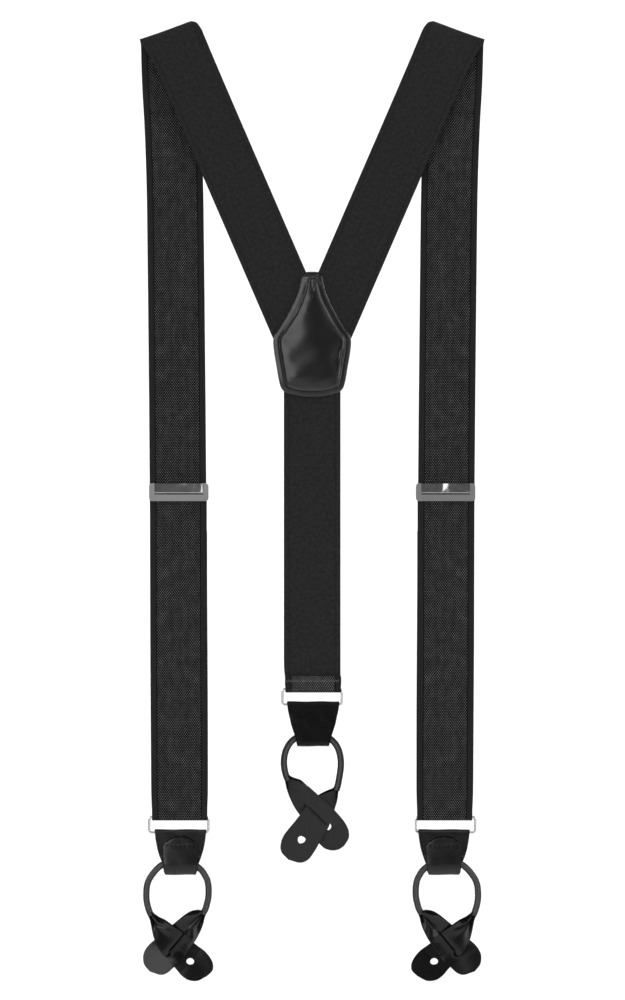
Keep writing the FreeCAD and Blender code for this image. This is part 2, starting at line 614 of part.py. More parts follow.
for side, m in (("left", 1), ("right", -1)):
    cx = m * fx
    W = D["adj_width"] / 2
    frame = new_body(side + "_adjuster_frame")
    n = frame.Name
    b = box(frame, n + "_far_plate", cx - W, cx + W, far_y, far_y + 0.7, adj_z - hh, adj_z + hh)
    b.setExpression("Length", "Dims.adj_width")
    b.setExpression("Height", "Dims.adj_height")
    for k, x0 in (("a", cx - W), ("b", cx + W - D["adj_wall"])):
        b = box(frame, n + "_wall_" + k, x0, x0 + D["adj_wall"], near_bar_y, far_y + 0.7, adj_z - hh, adj_z + hh)
        b.setExpression("Length", "Dims.adj_wall")
        b.setExpression("Height", "Dims.adj_height")
    b = box(frame, n + "_near_bar", cx - W, cx + W, near_bar_y, near_bar_y + 1.0, adj_z - hh, adj_z - 1.4)
    b.setExpression("Length", "Dims.adj_width")
    ear_x = D["lever_width"] / 2 + 0.25
    for k, x0, x1 in (("c", cx - W, cx - ear_x), ("d", cx + ear_x, cx + W)):
        box(frame, n + "_ear_" + k, x0, x1, near_bar_y, near_bar_y + 1.0, adj_z - hh, adj_z + hh)
    box(frame, n + "_anvil", cx - W, cx + W, fy + web_t + 0.2, fy + web_t + 1.0, adj_z + 1.2, adj_z + hh)
    box(frame, n + "_top_lip", cx - W, cx + W, fy + web_t + 0.2, far_y + 0.7, adj_z + hh - 0.7, adj_z + hh)
    doc.recompute()
    # round the four outer corners, seen from the front, with one through cut
    corner = []
    rc = 2.0
    for sx in (-1, 1):
        for sz in (-1, 1):
            X, Z = cx + sx * W, adj_z + sz * hh
            c = (X - sx * rc, Z - sz * rc)
            ang = {(-1, 1): (90, 180), (1, 1): (0, 90), (-1, -1): (180, 270), (1, -1): (270, 360)}[(sx, sz)]
            pA, pB = (X + sx * 0.5, Z - sz * rc), (X + sx * 0.5, Z + sz * 0.5)
            pC = (X - sx * rc, Z + sz * 0.5)
            a1, a2 = (X, Z - sz * rc), (X - sx * rc, Z)
            corner.append([line(a1, pA), line(pA, pB), line(pB, pC), line(pC, a2), arc(c, rc, *ang)])
    sk = sketch(frame, n + "_corners", "XZ_Plane", -(far_y + 3), corner)
    pk = frame.newObject("PartDesign::Pocket", n + "_corner_cut")
    pk.Profile = sk
    pk.Length = 16
    pk.Reversed = True
    sk.Visibility = False
    # seats of the hinge pin and of the strap bar in the side walls
    for nm, yy, zz, dia in (("pin_seat", pin_y, pin_z, "pin_dia"), ("bar_seat", bar_y, loop_z, "bar_dia")):
        c = frame.newObject("PartDesign::SubtractiveCylinder", n + "_" + nm)
        c.Radius = D[dia] / 2
        c.setExpression("Radius", "Dims.%s / 2" % dia)
        c.Height = D["adj_width"] + 2
        c.AttachmentSupport = [(plane(frame, "YZ_Plane"), "")]
        c.MapMode = "FlatFace"
        c.AttachmentOffset = Placement(Vector(yy, zz, cx - W - 1), Rotation())
    doc.recompute()

    lever = new_body(side + "_adjuster_lever")
    n = lever.Name
    lx = D["lever_width"] / 2
    br = 0.85  # barrel round the pin
    # plate, with a barrel round the pin and a row of teeth facing the webbing
    prof = [
        line((pin_y - br, pin_z), (pin_y - br, adj_z + hh - 0.2)),
        line((pin_y - br, adj_z + hh - 0.2), (pin_y - 0.1, adj_z + hh - 0.2)),
        line((pin_y - 0.1, adj_z + hh - 0.2), (pin_y - 0.1, pin_z + math.sqrt(br * br - 0.01))),
        arc((pin_y, pin_z), br, -180, 180 - math.degrees(math.acos(0.1 / br))),
    ]
    sk = sketch(lever, n + "_profile", "YZ_Plane", cx, [prof])
    pad(lever, n + "_plate", sk, alias="lever_width", mid=True)
    doc.recompute()
    c = lever.newObject("PartDesign::SubtractiveCylinder", n + "_bore")
    c.Radius = D["pin_dia"] / 2 + 0.03
    c.setExpression("Radius", "Dims.pin_dia / 2 + 0.03")
    c.Height = 2 * lx + 2
    c.AttachmentSupport = [(plane(lever, "YZ_Plane"), "")]
    c.MapMode = "FlatFace"
    c.AttachmentOffset = Placement(Vector(pin_y, pin_z, cx - lx - 1), Rotation())
    doc.recompute()
    for i in range(11):
        tx = cx - 13.0 + i * 2.6
        box(lever, n + "_tooth_%d" % i, tx - 0.5, tx + 0.5, pin_y + 0.7, pin_y + 0.95, pin_z - 0.25, pin_z + 0.25)
    doc.recompute()

    pin = doc.addObject("Part::Cylinder", side + "_adjuster_pin")
    pin.setExpression("Radius", "Dims.pin_dia / 2")
    pin.setExpression("Height", "Dims.adj_width")
    pin.Placement = Placement(Vector(cx - W, pin_y, pin_z), Rotation(Vector(0, 1, 0), 90))
    keep(pin, side + "_adjuster_pin")
    bar = doc.addObject("Part::Cylinder", side + "_adjuster_strap_bar")
    bar.setExpression("Radius", "Dims.bar_dia / 2")
    bar.setExpression("Height", "Dims.adj_width")
    bar.Placement = Placement(Vector(cx - W, bar_y, loop_z), Rotation(Vector(0, 1, 0), 90))
    keep(bar, side + "_adjuster_strap_bar")
    stitches(
        side + "_strap_end_stitching",
        [(cx + (i - 5) * 3.0, adj_z - 18.0) for i in range(11)],
        2 * web_t + 2.0 + 0.15,
        bar_y - 1.0 - web_t - 0.05,
    )

# rear hem stitching
stitches(
    "rear_hem_stitching",
    [((i - 5) * 3.0, rz + 5.6) for i in range(11)],
    2 * web_t + 0.12 + 0.4,
    ry - 0.12 - web_t - 0.2,
)

# ---------------------------------------------------------------- back patch
# Right half of the outline, from the tip down to the bottom edge.
half_outline = [
    (4.6, -148.9), (6.6, -153.5), (8.4, -160.5), (11.0, -167.0), (15.3, -175.2), (20.0, -182.8),
    (23.3, -187.8), (24.0, -191.5), (23.3, -198.0), (21.9, -207.0), (20.4, -216.0), (18.3, -221.4), (12.5, -224.0), (6.0, -225.2),
]


def symmetric(points):
    return [(x, z) for x, z in points] + [(-x, z) for x, z in reversed(points)]


def inset(points, d):
    """Outline moved inwards by d, point by point, along the mean normal."""
    out = []
    n = len(points)
    for i in range(n):
        p0, p1, p2 = points[i - 1], points[i], points[(i + 1) % n]
        a = (p1[0] - p0[0], p1[1] - p0[1])
        b = (p2[0] - p1[0], p2[1] - p1[1])
        la, lb = math.hypot(*a), math.hypot(*b)
        tx, tz = a[0] / la + b[0] / lb, a[1] / la + b[1] / lb
        l = math.hypot(tx, tz)
        out.append((p1[0] - d * tz / l, p1[1] + d * tx / l))
    return out


patch = symmetric(half_outline)
area = sum(patch[i][0] * patch[(i + 1) % len(patch)][1] - patch[(i + 1) % len(patch)][0] * patch[i][1] for i in range(len(patch))) / 2
sgn = 1 if area > 0 else -1  # keeps the offset inwards whichever way the outline runs


def shrink(d):
    return inset(patch, d * sgn)


pt = D["patch_leather"]
face = new_body("back_patch_face")
sk = sketch(face, "patch_outline", "XZ_Plane", 0.1, [poly(patch)])
pad(face, "patch_pad", sk, alias="patch_leather")
sk = sketch(face, "patch_raised", "XZ_Plane", 0.1 + pt, [poly(shrink(5.2))])
pad(face, "patch_dome", sk, length=1.2)
doc.recompute()
sk = sketch(face, "patch_hollow", "XZ_Plane", 0.1, [poly(shrink(6.6))])
pk = face.newObject("PartDesign::Pocket", "patch_recess")
pk.Profile = sk
pk.Length = 1.2
pk.Reversed = True
sk.Visibility = False
box(face, "patch_tip_tuck", -2.2, 2.2, -0.6, ry + web_t + 0.2, -152.6, -149.2)
filler = new_body("back_patch_stiffener")
sk = sketch(filler, "stiffener_outline", "XZ_Plane", 0.12, [poly(shrink(6.9))])
pad(filler, "stiffener_pad", sk, length=1.1)
lining = new_body("back_patch_lining")
sk = sketch(lining, "lining_outline", "XZ_Plane", -(ry + web_t + 0.2 + pt), [poly(patch)])
pad(lining, "lining_pad", sk, alias="patch_leather")
seam = new_body("back_patch_stitching")
sk = sketch(seam, "seam_band", "XZ_Plane", 0.1 + pt, [poly(shrink(3.3)), poly(shrink(4.0))])
pad(seam, "seam_pad", sk, length=0.45)

# ---------------------------------------------------------------- check, then write
doc.recompute()
problems = []
for o in doc.Objects:
    if any(s in ("Invalid", "Error") for s in o.State):
        problems.append("%s is %s" % (o.Label, o.State))
for label, o in parts:
    s = o.Shape
    if s.isNull() or not s.isValid() or not s.Solids:
        problems.append("%s has no valid solid" % label)
if problems:
    raise SystemExit("\n".join(problems))
os.makedirs("parts", exist_ok=True)
for name in os.listdir("parts"):
    if name.endswith(".step"):
        os.remove(os.path.join("parts", name))
for label, o in parts:
    o.Shape.exportStep(os.path.join("parts", label + ".step"))
    bb = o.Shape.BoundBox
    print("%-28s vol %9.2f mm3  solids %d  x %.2f..%.2f y %.2f..%.2f z %.2f..%.2f" % (label, o.Shape.Volume, len(o.Shape.Solids), bb.XMin, bb.XMax, bb.YMin, bb.YMax, bb.ZMin, bb.ZMax))
print("parts", len(parts))
for side, f in FACTS.items():
    print(side, {k: (round(v, 3) if isinstance(v, float) else v) for k, v in f.items()})
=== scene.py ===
"""Suspenders: the looks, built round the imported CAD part. Metres, Z up, the view is along +Y."""
import math

import bmesh
import bpy
import numpy as np
from mathutils import Matrix, Vector


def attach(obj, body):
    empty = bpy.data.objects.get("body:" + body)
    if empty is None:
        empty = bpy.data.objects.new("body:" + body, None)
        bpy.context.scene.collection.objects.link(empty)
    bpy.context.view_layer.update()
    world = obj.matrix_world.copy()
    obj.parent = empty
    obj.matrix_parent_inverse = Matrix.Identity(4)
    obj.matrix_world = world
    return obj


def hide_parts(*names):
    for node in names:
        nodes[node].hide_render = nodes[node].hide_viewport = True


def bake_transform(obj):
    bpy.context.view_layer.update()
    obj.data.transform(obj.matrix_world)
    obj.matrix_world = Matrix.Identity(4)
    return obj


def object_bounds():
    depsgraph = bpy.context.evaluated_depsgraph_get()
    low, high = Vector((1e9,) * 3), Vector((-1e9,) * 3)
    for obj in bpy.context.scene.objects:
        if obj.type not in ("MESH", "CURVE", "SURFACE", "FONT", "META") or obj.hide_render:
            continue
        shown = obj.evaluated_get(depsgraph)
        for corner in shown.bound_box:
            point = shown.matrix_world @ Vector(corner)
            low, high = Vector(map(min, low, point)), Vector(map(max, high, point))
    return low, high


MM = 0.001
rng = np.random.default_rng(7)

bpy.ops.wm.read_factory_settings(use_empty=True)
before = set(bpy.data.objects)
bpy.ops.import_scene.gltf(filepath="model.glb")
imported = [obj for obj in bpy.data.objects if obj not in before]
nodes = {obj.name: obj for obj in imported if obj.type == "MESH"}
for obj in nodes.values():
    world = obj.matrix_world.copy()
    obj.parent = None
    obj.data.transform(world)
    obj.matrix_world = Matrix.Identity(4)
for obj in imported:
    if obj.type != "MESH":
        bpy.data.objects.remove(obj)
lo0, hi0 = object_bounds()
scene = bpy.context.scene


# ------------------------------------------------------------------ materials
class Nodes:
    """A short way to write a shader graph."""

    def __init__(self, name):
        self.mat = bpy.data.materials.new(name)
        self.mat.use_nodes = True
        self.t = self.mat.node_tree
        self.bsdf = self.t.nodes["Principled BSDF"]

    def new(self, kind, **props):
        n = self.t.nodes.new(kind)
        for k, v in props.items():
            setattr(n, k, v)
        return n

    def put(self, socket, value):
        if hasattr(value, "is_output") or isinstance(value, bpy.types.NodeSocket):
            self.t.links.new(value, socket)
        elif value is not None:
            socket.default_value = value

    def math(self, op, a, b=None, c=None, clamp=False):
        n = self.new("ShaderNodeMath", operation=op, use_clamp=clamp)
        for i, v in enumerate((a, b, c)):
            if v is not None:
                self.put(n.inputs[i], v)
        return n.outputs[0]

    def mix(self, fac, a, b):
        n = self.new("ShaderNodeMix", data_type="RGBA")
        self.put(n.inputs[0], fac)
        self.put(n.inputs[6], a)
        self.put(n.inputs[7], b)
        return n.outputs[2]

    def noise(self, vec, scale, detail=3.0, rough=0.55, dist=0.0):
        n = self.new("ShaderNodeTexNoise")
        self.put(n.inputs["Vector"], vec)
        n.inputs["Scale"].default_value = scale
        n.inputs["Detail"].default_value = detail
        n.inputs["Roughness"].default_value = rough
        n.inputs["Distortion"].default_value = dist
        return n.outputs[0]

    def voronoi(self, vec, scale, feature="F1", out=0):
        n = self.new("ShaderNodeTexVoronoi", feature=feature)
        self.put(n.inputs["Vector"], vec)
        n.inputs["Scale"].default_value = scale
        return n.outputs[out]

    def ramp(self, x, a, b, lo=0.0, hi=1.0):
        n = self.new("ShaderNodeMapRange", interpolation_type="SMOOTHSTEP")
        self.put(n.inputs[0], x)
        n.inputs[1].default_value, n.inputs[2].default_value = a, b
        n.inputs[3].default_value, n.inputs[4].default_value = lo, hi
        return n.outputs[0]

    def uv(self):
        c = self.new("ShaderNodeTexCoord")
        s = self.new("ShaderNodeSeparateXYZ")
        self.t.links.new(c.outputs["UV"], s.inputs[0])
        return c.outputs["UV"], s.outputs[0], s.outputs[1]

    def obj(self):
        return self.new("ShaderNodeTexCoord").outputs["Object"]

    def bump(self, height, strength, distance, normal=None):
        n = self.new("ShaderNodeBump")
        n.inputs["Strength"].default_value = strength
        n.inputs["Distance"].default_value = distance
        self.put(n.inputs["Height"], height)
        if normal is not None:
            self.put(n.inputs["Normal"], normal)
        return n.outputs[0]

    def done(self, base, rough, normal=None, **sockets):
        self.put(self.bsdf.inputs["Base Color"], base)
        self.put(self.bsdf.inputs["Roughness"], rough)
        if normal is not None:
            self.put(self.bsdf.inputs["Normal"], normal)
        for k, v in sockets.items():
            self.bsdf.inputs[k.replace("_", " ")].default_value = v
        return self.mat


TWILL_DARK, TWILL_LIGHT = 0.0030, 0.50
SMOOTH_DARK, SMOOTH_LIGHT = 0.011, 0.040


def grey(v, tint=0.0):
    return (v, v, v * (1 + tint), 1)


# Web UVs are in centimetres, so that one unit is 10 mm: u across from the middle, v along.
def web_inner(name="webbing_twill", light=TWILL_LIGHT, low=0.64):
    """Twill face: fine ribs along the webbing with diagonal flecks that turn back and forth, and plain borders."""
    m = Nodes(name)
    vec, u, v = m.uv()
    wander = m.math("MULTIPLY", m.noise(vec, 0.8, 2.0), 0.5)
    a1 = m.math("ADD", m.math("MULTIPLY", u, 7.15), wander)
    a2 = m.math("MULTIPLY", v, 5.2)
    c1 = m.math("COSINE", m.math("MULTIPLY", m.math("ADD", a1, a2), 2 * math.pi))
    c2 = m.math("COSINE", m.math("MULTIPLY", m.math("SUBTRACT", a1, a2), 2 * math.pi))
    turn = m.math("MULTIPLY_ADD", m.math("SINE", m.math("ADD", m.math("MULTIPLY", u, 2 * math.pi / 0.98), m.math("MULTIPLY", m.noise(vec, 1.1, 1.0), 5.0))), 0.17, 0.5)
    both = m.math("ADD", m.math("MULTIPLY", c1, turn), m.math("MULTIPLY", c2, m.math("SUBTRACT", 1.0, turn)))
    uneven = m.noise(vec, 14.0, 3.0, 0.65)
    patchy = m.noise(vec, 1.3, 2.0)
    yarn = m.math("MULTIPLY_ADD", m.math("COSINE", m.math("MULTIPLY", u, 2 * math.pi * 14.3)), 0.5, 0.5)
    fleck = m.math("MULTIPLY", m.math("MULTIPLY_ADD", both, 0.5, 0.5), m.math("MULTIPLY_ADD", yarn, 0.25, 0.75))
    fine = m.math("MULTIPLY_ADD", m.math("SINE", m.math("MULTIPLY", v, 2 * math.pi / 0.048)), 0.5, 0.5)
    au = m.math("ABSOLUTE", u)
    edge = m.ramp(au, 1.36, 1.43)
    groove = m.math("MULTIPLY", m.ramp(au, 1.32, 1.39), m.ramp(au, 1.41, 1.48, 1.0, 0.0))
    border_rib = m.math("MULTIPLY_ADD", m.math("COSINE", m.math("MULTIPLY", u, 2 * math.pi / 0.075)), 0.5, 0.5)
    border = m.math("MULTIPLY", m.math("MULTIPLY_ADD", border_rib, 0.30, 0.22), m.math("MULTIPLY_ADD", fine, 0.5, 0.5))
    body = m.math("ADD", fleck, m.math("MULTIPLY", fine, 0.12))
    h = m.math("ADD", m.math("MULTIPLY", body, m.math("SUBTRACT", 1.0, edge)), m.math("MULTIPLY", border, edge))
    h = m.math("SUBTRACT", h, m.math("MULTIPLY", groove, 0.4))
    amount = m.math("MULTIPLY", m.ramp(h, low, 1.04), m.math("MULTIPLY_ADD", m.math("ADD", uneven, m.math("MULTIPLY", patchy, 0.6)), 1.7, -0.45), None, True)
    col = m.mix(amount, grey(TWILL_DARK), grey(light))
    plain = m.mix(m.math("MULTIPLY", border, m.math("MULTIPLY_ADD", uneven, 2.0, 0.6), None, True), grey(0.0045), grey(0.040))
    col = m.mix(edge, col, plain)
    # painted shade: the webbing turns nearly black along its outermost edges
    col = m.mix(m.ramp(au, 1.69, 1.735), col, grey(0.004))
    nrm = m.bump(h, 0.75, 0.00018)
    return m.done(col, m.math("MULTIPLY_ADD", uneven, 0.2, 0.62), nrm, Specular_IOR_Level=0.10, Sheen_Weight=0.02, Sheen_Roughness=0.4)


def web_outer():
    """Smooth face: close plain weave across the webbing, with a thin line inside each border."""
    m = Nodes("webbing_smooth")
    vec, u, v = m.uv()
    weft = m.math("MULTIPLY_ADD", m.math("SINE", m.math("MULTIPLY", v, 2 * math.pi / 0.046)), 0.5, 0.5)
    warp = m.math("MULTIPLY_ADD", m.math("COSINE", m.math("MULTIPLY", u, 2 * math.pi / 0.056)), 0.5, 0.5)
    slub = m.noise(vec, 5.0, 4.0, 0.6)
    stretch = m.new("ShaderNodeMapping")
    stretch.inputs["Scale"].default_value = (0.6, 14.0, 1.0)
    m.put(stretch.inputs[0], vec)
    streak = m.noise(stretch.outputs[0], 2.0, 3.0)
    long = m.new("ShaderNodeMapping")
    long.inputs["Scale"].default_value = (16.0, 0.35, 1.0)
    m.put(long.inputs[0], vec)
    lines = m.noise(long.outputs[0], 1.0, 3.0)
    au = m.math("ABSOLUTE", u)
    groove = m.math("MULTIPLY", m.ramp(au, 1.38, 1.42), m.ramp(au, 1.43, 1.47, 1.0, 0.0))
    h = m.math("MULTIPLY", m.math("MULTIPLY_ADD", weft, 0.6, 0.2), m.math("MULTIPLY_ADD", warp, 0.5, 0.5))
    h = m.math("ADD", h, m.math("MULTIPLY", streak, 0.35))
    h = m.math("ADD", h, m.math("MULTIPLY", lines, 0.35))
    h = m.math("SUBTRACT", h, m.math("MULTIPLY", groove, 0.32))
    amount = m.math("MULTIPLY", m.ramp(h, 0.1, 1.2), m.math("MULTIPLY_ADD", slub, 2.2, -0.35), None, True)
    col = m.mix(amount, grey(SMOOTH_DARK), grey(SMOOTH_LIGHT))
    # painted shade: the webbing turns nearly black along its outermost edges
    col = m.mix(m.ramp(au, 1.69, 1.735), col, grey(0.005))
    nrm = m.bump(h, 0.5, 0.00012)
    return m.done(col, m.math("MULTIPLY_ADD", slub, 0.2, 0.66), nrm, Specular_IOR_Level=0.10, Sheen_Weight=0.02, Sheen_Roughness=0.45)


def leather(name, dark, light, rough, grain, bump, coat=0.0, crease=0.0, spec=0.5, painted_crown_highlight=None):
    m = Nodes(name)
    vec = m.obj()
    cells = m.voronoi(vec, grain, "DISTANCE_TO_EDGE")
    pores = m.noise(vec, grain * 2.2, 3.0, 0.6)
    broad = m.noise(vec, 90.0, 4.0, 0.55, 0.4)
    h = m.math("ADD", m.math("MULTIPLY", m.ramp(cells, 0.0, 0.12), 0.55), m.math("MULTIPLY", pores, 0.45))
    if crease:
        stretch = m.new("ShaderNodeMapping")
        stretch.inputs["Scale"].default_value = (30.0, 30.0, 220.0)
        m.put(stretch.inputs[0], vec)
        h = m.math("ADD", h, m.math("MULTIPLY", m.noise(stretch.outputs[0], 1.0, 2.0, 0.5, 0.8), crease))
    col = m.mix(m.math("MULTIPLY", m.ramp(h, 0.2, 1.0), m.math("MULTIPLY_ADD", broad, 0.8, 0.4)), grey(dark), grey(light))
    if painted_crown_highlight:
        # painted highlight: paler along the cord's crown on the viewer's side, broken into fine lines; the pair gives
        # the y of the axis in m and the pale value
        sep = m.new("ShaderNodeSeparateXYZ")
        m.put(sep.inputs[0], vec)
        crown = m.ramp(sep.outputs[1], painted_crown_highlight[0] - 0.00196, painted_crown_highlight[0] - 0.00142, 1.0, 0.0)
        crown_highlight_amount = m.math("MULTIPLY", crown, m.math("MULTIPLY_ADD", m.noise(vec, 900.0, 3.0, 0.6), 1.4, 0.2), None, True)
        col = m.mix(crown_highlight_amount, col, grey(painted_crown_highlight[1]))
    r = m.math("ADD", rough, m.math("MULTIPLY", m.math("SUBTRACT", broad, 0.5), 0.16))
    nrm = m.bump(h, bump, 0.00012)
    return m.done(col, r, nrm, Specular_IOR_Level=spec, Coat_Weight=coat, Coat_Roughness=0.12)


def thread_mat(name, dark, light):
    m = Nodes(name)
    vec, u, v = m.uv()
    twist = m.math("MULTIPLY_ADD", m.math("SINE", m.math("MULTIPLY", m.math("ADD", m.math("MULTIPLY", u, 6.0), m.math("MULTIPLY", v, 60.0)), 2 * math.pi / 2.0)), 0.5, 0.5)
    fuzz = m.noise(m.obj(), 2600.0, 2.0)
    h = m.math("ADD", twist, m.math("MULTIPLY", fuzz, 0.4))
    return m.done(m.mix(m.math("MULTIPLY", h, 0.7), grey(dark), grey(light)), 0.7, m.bump(h, 0.6, 0.00008), Specular_IOR_Level=0.08, Sheen_Weight=0.0)


def metal(name, base, rough, brushed=0.0, scratch=0.15, axis=(20.0, 400.0, 900.0), blotch=130.0, depth=0.00006):
    m = Nodes(name)
    vec = m.obj()
    stretch = m.new("ShaderNodeMapping")
    stretch.inputs["Scale"].default_value = axis
    m.put(stretch.inputs[0], vec)
    lines = m.noise(stretch.outputs[0], 3.0, 4.0, 0.65)
    smear = m.noise(vec, blotch, 2.0, 0.45, 0.4)
    col = m.mix(m.math("MULTIPLY", smear, 0.6), grey(base), grey(base * 0.80))
    r = m.math("ADD", rough, m.math("ADD", m.math("MULTIPLY", smear, 0.10), m.math("MULTIPLY", lines, brushed * 0.2)))
    nrm = m.bump(m.math("ADD", m.math("MULTIPLY", lines, brushed), m.math("MULTIPLY", smear, scratch)), 0.6, depth)
    return m.done(col, r, nrm, Metallic=1.0)


M_TWILL, M_SMOOTH = web_inner(), web_outer()
M_TWILL_HEM = web_inner("webbing_twill_hem", 0.62, 0.60)
M_PATCH = leather("patch_leather", 0.0048, 0.0095, 0.23, 1500.0, 0.12, coat=0.3, spec=0.5)
M_LINING = leather("lining_leather", 0.008, 0.018, 0.50, 1300.0, 0.35, spec=0.3)
M_TAB = leather("tab_leather", 0.0040, 0.0090, 0.26, 1500.0, 0.14, coat=0.15, crease=0.06, spec=0.42)
M_TAB_REAR = leather("tab_leather_matt", 0.0028, 0.0060, 0.27, 1400.0, 0.14, coat=0.0, crease=0.05, spec=0.17)
# the cords get a painted highlight along the crown that faces the viewer
M_CORD = leather("cord_leather", 0.0020, 0.006, 0.30, 1700.0, 0.2, spec=0.16, painted_crown_highlight=(0.0098, 0.11))
M_CORD_REAR = leather("cord_leather_matt", 0.0040, 0.012, 0.55, 1500.0, 0.7, spec=0.14, painted_crown_highlight=(0.0007, 0.095))
M_EAR = leather("ear_leather", 0.0018, 0.0045, 0.21, 1600.0, 0.10, coat=0.15, spec=0.33)
M_EAR_REAR = leather("ear_leather_matt", 0.020, 0.036, 0.55, 1400.0, 0.4, spec=0.22)
M_THREAD = thread_mat("thread_black", 0.0012, 0.0035)
M_EDGE = leather("painted_edge", 0.0015, 0.0030, 0.6, 1600.0, 0.1, spec=0.06)
M_THREAD_GREY = thread_mat("thread_grey", 0.050, 0.22)
M_LEVER = metal("polished_nickel", 0.52, 0.10, brushed=0.002, scratch=1.0, axis=(20.0, 60.0, 160.0), blotch=42.0, depth=0.0045)
M_FRAME = metal("satin_nickel", 0.43, 0.32, brushed=0.15)
M_STEEL = metal("steel", 0.45, 0.3, brushed=0.4)
M_RING = metal("ring_nickel", 0.80, 0.10, brushed=0.03)


def use(obj, *mats):
    obj.data.materials.clear()
    for m in mats:
        obj.data.materials.append(m)


# ------------------------------------------------------------------ mesh helpers
def make(name, verts, faces, mats, uvs=None, mat_ids=None, smooth=True):
    """Mesh from metres. uvs is one (u, v) for each vertex."""
    me = bpy.data.meshes.new(name)
    me.from_pydata([tuple(map(float, v)) for v in verts], [], [tuple(int(i) for i in f) for f in faces])
    me.validate()
    ob = bpy.data.objects.new(name, me)
    scene.collection.objects.link(ob)
    for m in mats:
        me.materials.append(m)
    if mat_ids is not None:
        me.polygons.foreach_set("material_index", np.array(mat_ids, np.int32))
    if uvs is not None:
        layer = me.uv_layers.new(name="UVMap")
        idx = np.zeros(len(me.loops), np.int32)
        me.loops.foreach_get("vertex_index", idx)
        layer.data.foreach_set("uv", np.asarray(uvs, np.float32)[idx].ravel())
    me.polygons.foreach_set("use_smooth", [smooth] * len(me.polygons))
    me.update()
    return ob


def outward(ob):
    bm = bmesh.new()
    bm.from_mesh(ob.data)
    bmesh.ops.recalc_face_normals(bm, faces=bm.faces)
    bm.to_mesh(ob.data)
    bm.free()
    return ob


def bake(ob, *mods):
    """Adds modifiers as (type, settings) and applies them all."""
    for kind, settings in mods:
        m = ob.modifiers.new(kind, kind)
        for k, v in settings.items():
            setattr(m, k, v)
    bpy.context.view_layer.update()
    dg = bpy.context.evaluated_depsgraph_get()
    me = bpy.data.meshes.new_from_object(ob.evaluated_get(dg), preserve_all_data_layers=True, depsgraph=dg)
    old = ob.data
    ob.modifiers.clear()
    ob.data = me
    me.name = ob.name
    bpy.data.meshes.remove(old)
    return ob


def sstep(x, a, b):
    t = np.clip((np.asarray(x, float) - a) / (b - a), 0, 1)
    return t * t * (3 - 2 * t)


def grid_normals(P):
    du = np.gradient(P, axis=1)
    dv = np.gradient(P, axis=0)
    n = np.cross(du, dv)
    return n / np.maximum(np.linalg.norm(n, axis=2, keepdims=True), 1e-12)


def band(name, P, S, V, thick, mats, mirror=False, edge=0.35, cap=(True, True)):
    """A strip with thickness. P is the middle surface in mm, rows along and columns across; S the across position and V the
    along position of each point in mm, for the weave. mats is (front face, back face): front is the side the grid's normal points to."""
    P = np.asarray(P, float)
    nr, nc = P.shape[:2]
    N = grid_normals(P)
    d = np.minimum(np.abs(S - S[:, :1]), np.abs(S[:, -1:] - S))
    prof = np.sqrt(np.clip(1 - (1 - np.clip(d / edge, 0, 1)) ** 2, 0, 1)) * 0.62 + 0.38
    half = (thick / 2) * prof[..., None]
    A, B = P + N * half, P - N * half
    verts = np.concatenate([A.reshape(-1, 3), B.reshape(-1, 3)])
    uv = np.stack([S, V], -1).reshape(-1, 2) / 10.0
    uvs = np.concatenate([uv, uv])
    off = nr * nc
    faces, ids = [], []
    i, j = np.meshgrid(np.arange(nr - 1), np.arange(nc - 1), indexing="ij")
    a = (i * nc + j).ravel()
    for q in a:
        faces.append((q, q + 1, q + nc + 1, q + nc))
        ids.append(0)
    for q in a:
        q2 = q + off
        faces.append((q2, q2 + nc, q2 + nc + 1, q2 + 1))
        ids.append(1)
    for r in range(nr - 1):
        q = r * nc
        faces.append((q, q + nc, q + nc + off, q + off))
        ids.append(0)
        q = r * nc + nc - 1
        faces.append((q, q + off, q + nc + off, q + nc))
        ids.append(0)
    for c in range(nc - 1):
        if cap[0]:
            faces.append((c, c + off, c + 1 + off, c + 1))
            ids.append(0)
        if cap[1]:
            q = (nr - 1) * nc + c
            faces.append((q, q + 1, q + 1 + off, q + off))
            ids.append(0)
    if mirror:
        verts = verts * np.array([-1, 1, 1])
        faces = [tuple(reversed(f)) for f in faces]
    return make(name, verts * MM, faces, mats, uvs, ids)


def edge_columns(half, n=26, fine=0.35):
    """Positions across a strip, close together at both edges."""
    inner = np.linspace(-(half - fine), half - fine, n)
    e = np.array([0.0, 0.06, 0.16, 0.27]) * fine / 0.35
    return np.concatenate([-half + e, inner, (half - e)[::-1]])


def tube(name, path, radius, mat, sides=14, closed_ends=True, groove=None, uv_len=1.0, up=(0, 1, 0)):
    """A round cord along a path in mm. groove is (angle, depth, width) of a seam."""
    path = np.asarray(path, float)
    n = len(path)
    T = np.gradient(path, axis=0)
    T /= np.maximum(np.linalg.norm(T, axis=1, keepdims=True), 1e-12)
    up = np.asarray(up, float)
    X = np.cross(T, up)
    X /= np.maximum(np.linalg.norm(X, axis=1, keepdims=True), 1e-12)
    Y = np.cross(X, T)
    rad = radius if np.ndim(radius) else np.full(n, radius)
    ang = np.linspace(0, 2 * np.pi, sides, endpoint=False)
    rr = np.ones(sides)
    if groove:
        g, depth, width = groove
        dd = np.abs((ang - g + np.pi) % (2 * np.pi) - np.pi)
        rr = 1 - depth * np.exp(-((dd / width) ** 2))
    V, U = [], []
    length = np.concatenate([[0], np.cumsum(np.linalg.norm(np.diff(path, axis=0), axis=1))])
    for i in range(n):
        for k, a in enumerate(ang):
            V.append(path[i] + rad[i] * rr[k] * (X[i] * math.cos(a) + Y[i] * math.sin(a)))
            U.append((a / (2 * math.pi), length[i] / 10 * uv_len))
    F = []
    for i in range(n - 1):
        for k in range(sides):
            a, b = i * sides + k, i * sides + (k + 1) % sides
            F.append((a, b, b + sides, a + sides))
    if closed_ends:
        F.append(tuple(range(sides))[::-1])
        F.append(tuple((n - 1) * sides + k for k in range(sides)))
    return outward(make(name, np.array(V) * MM, F, [mat], U))


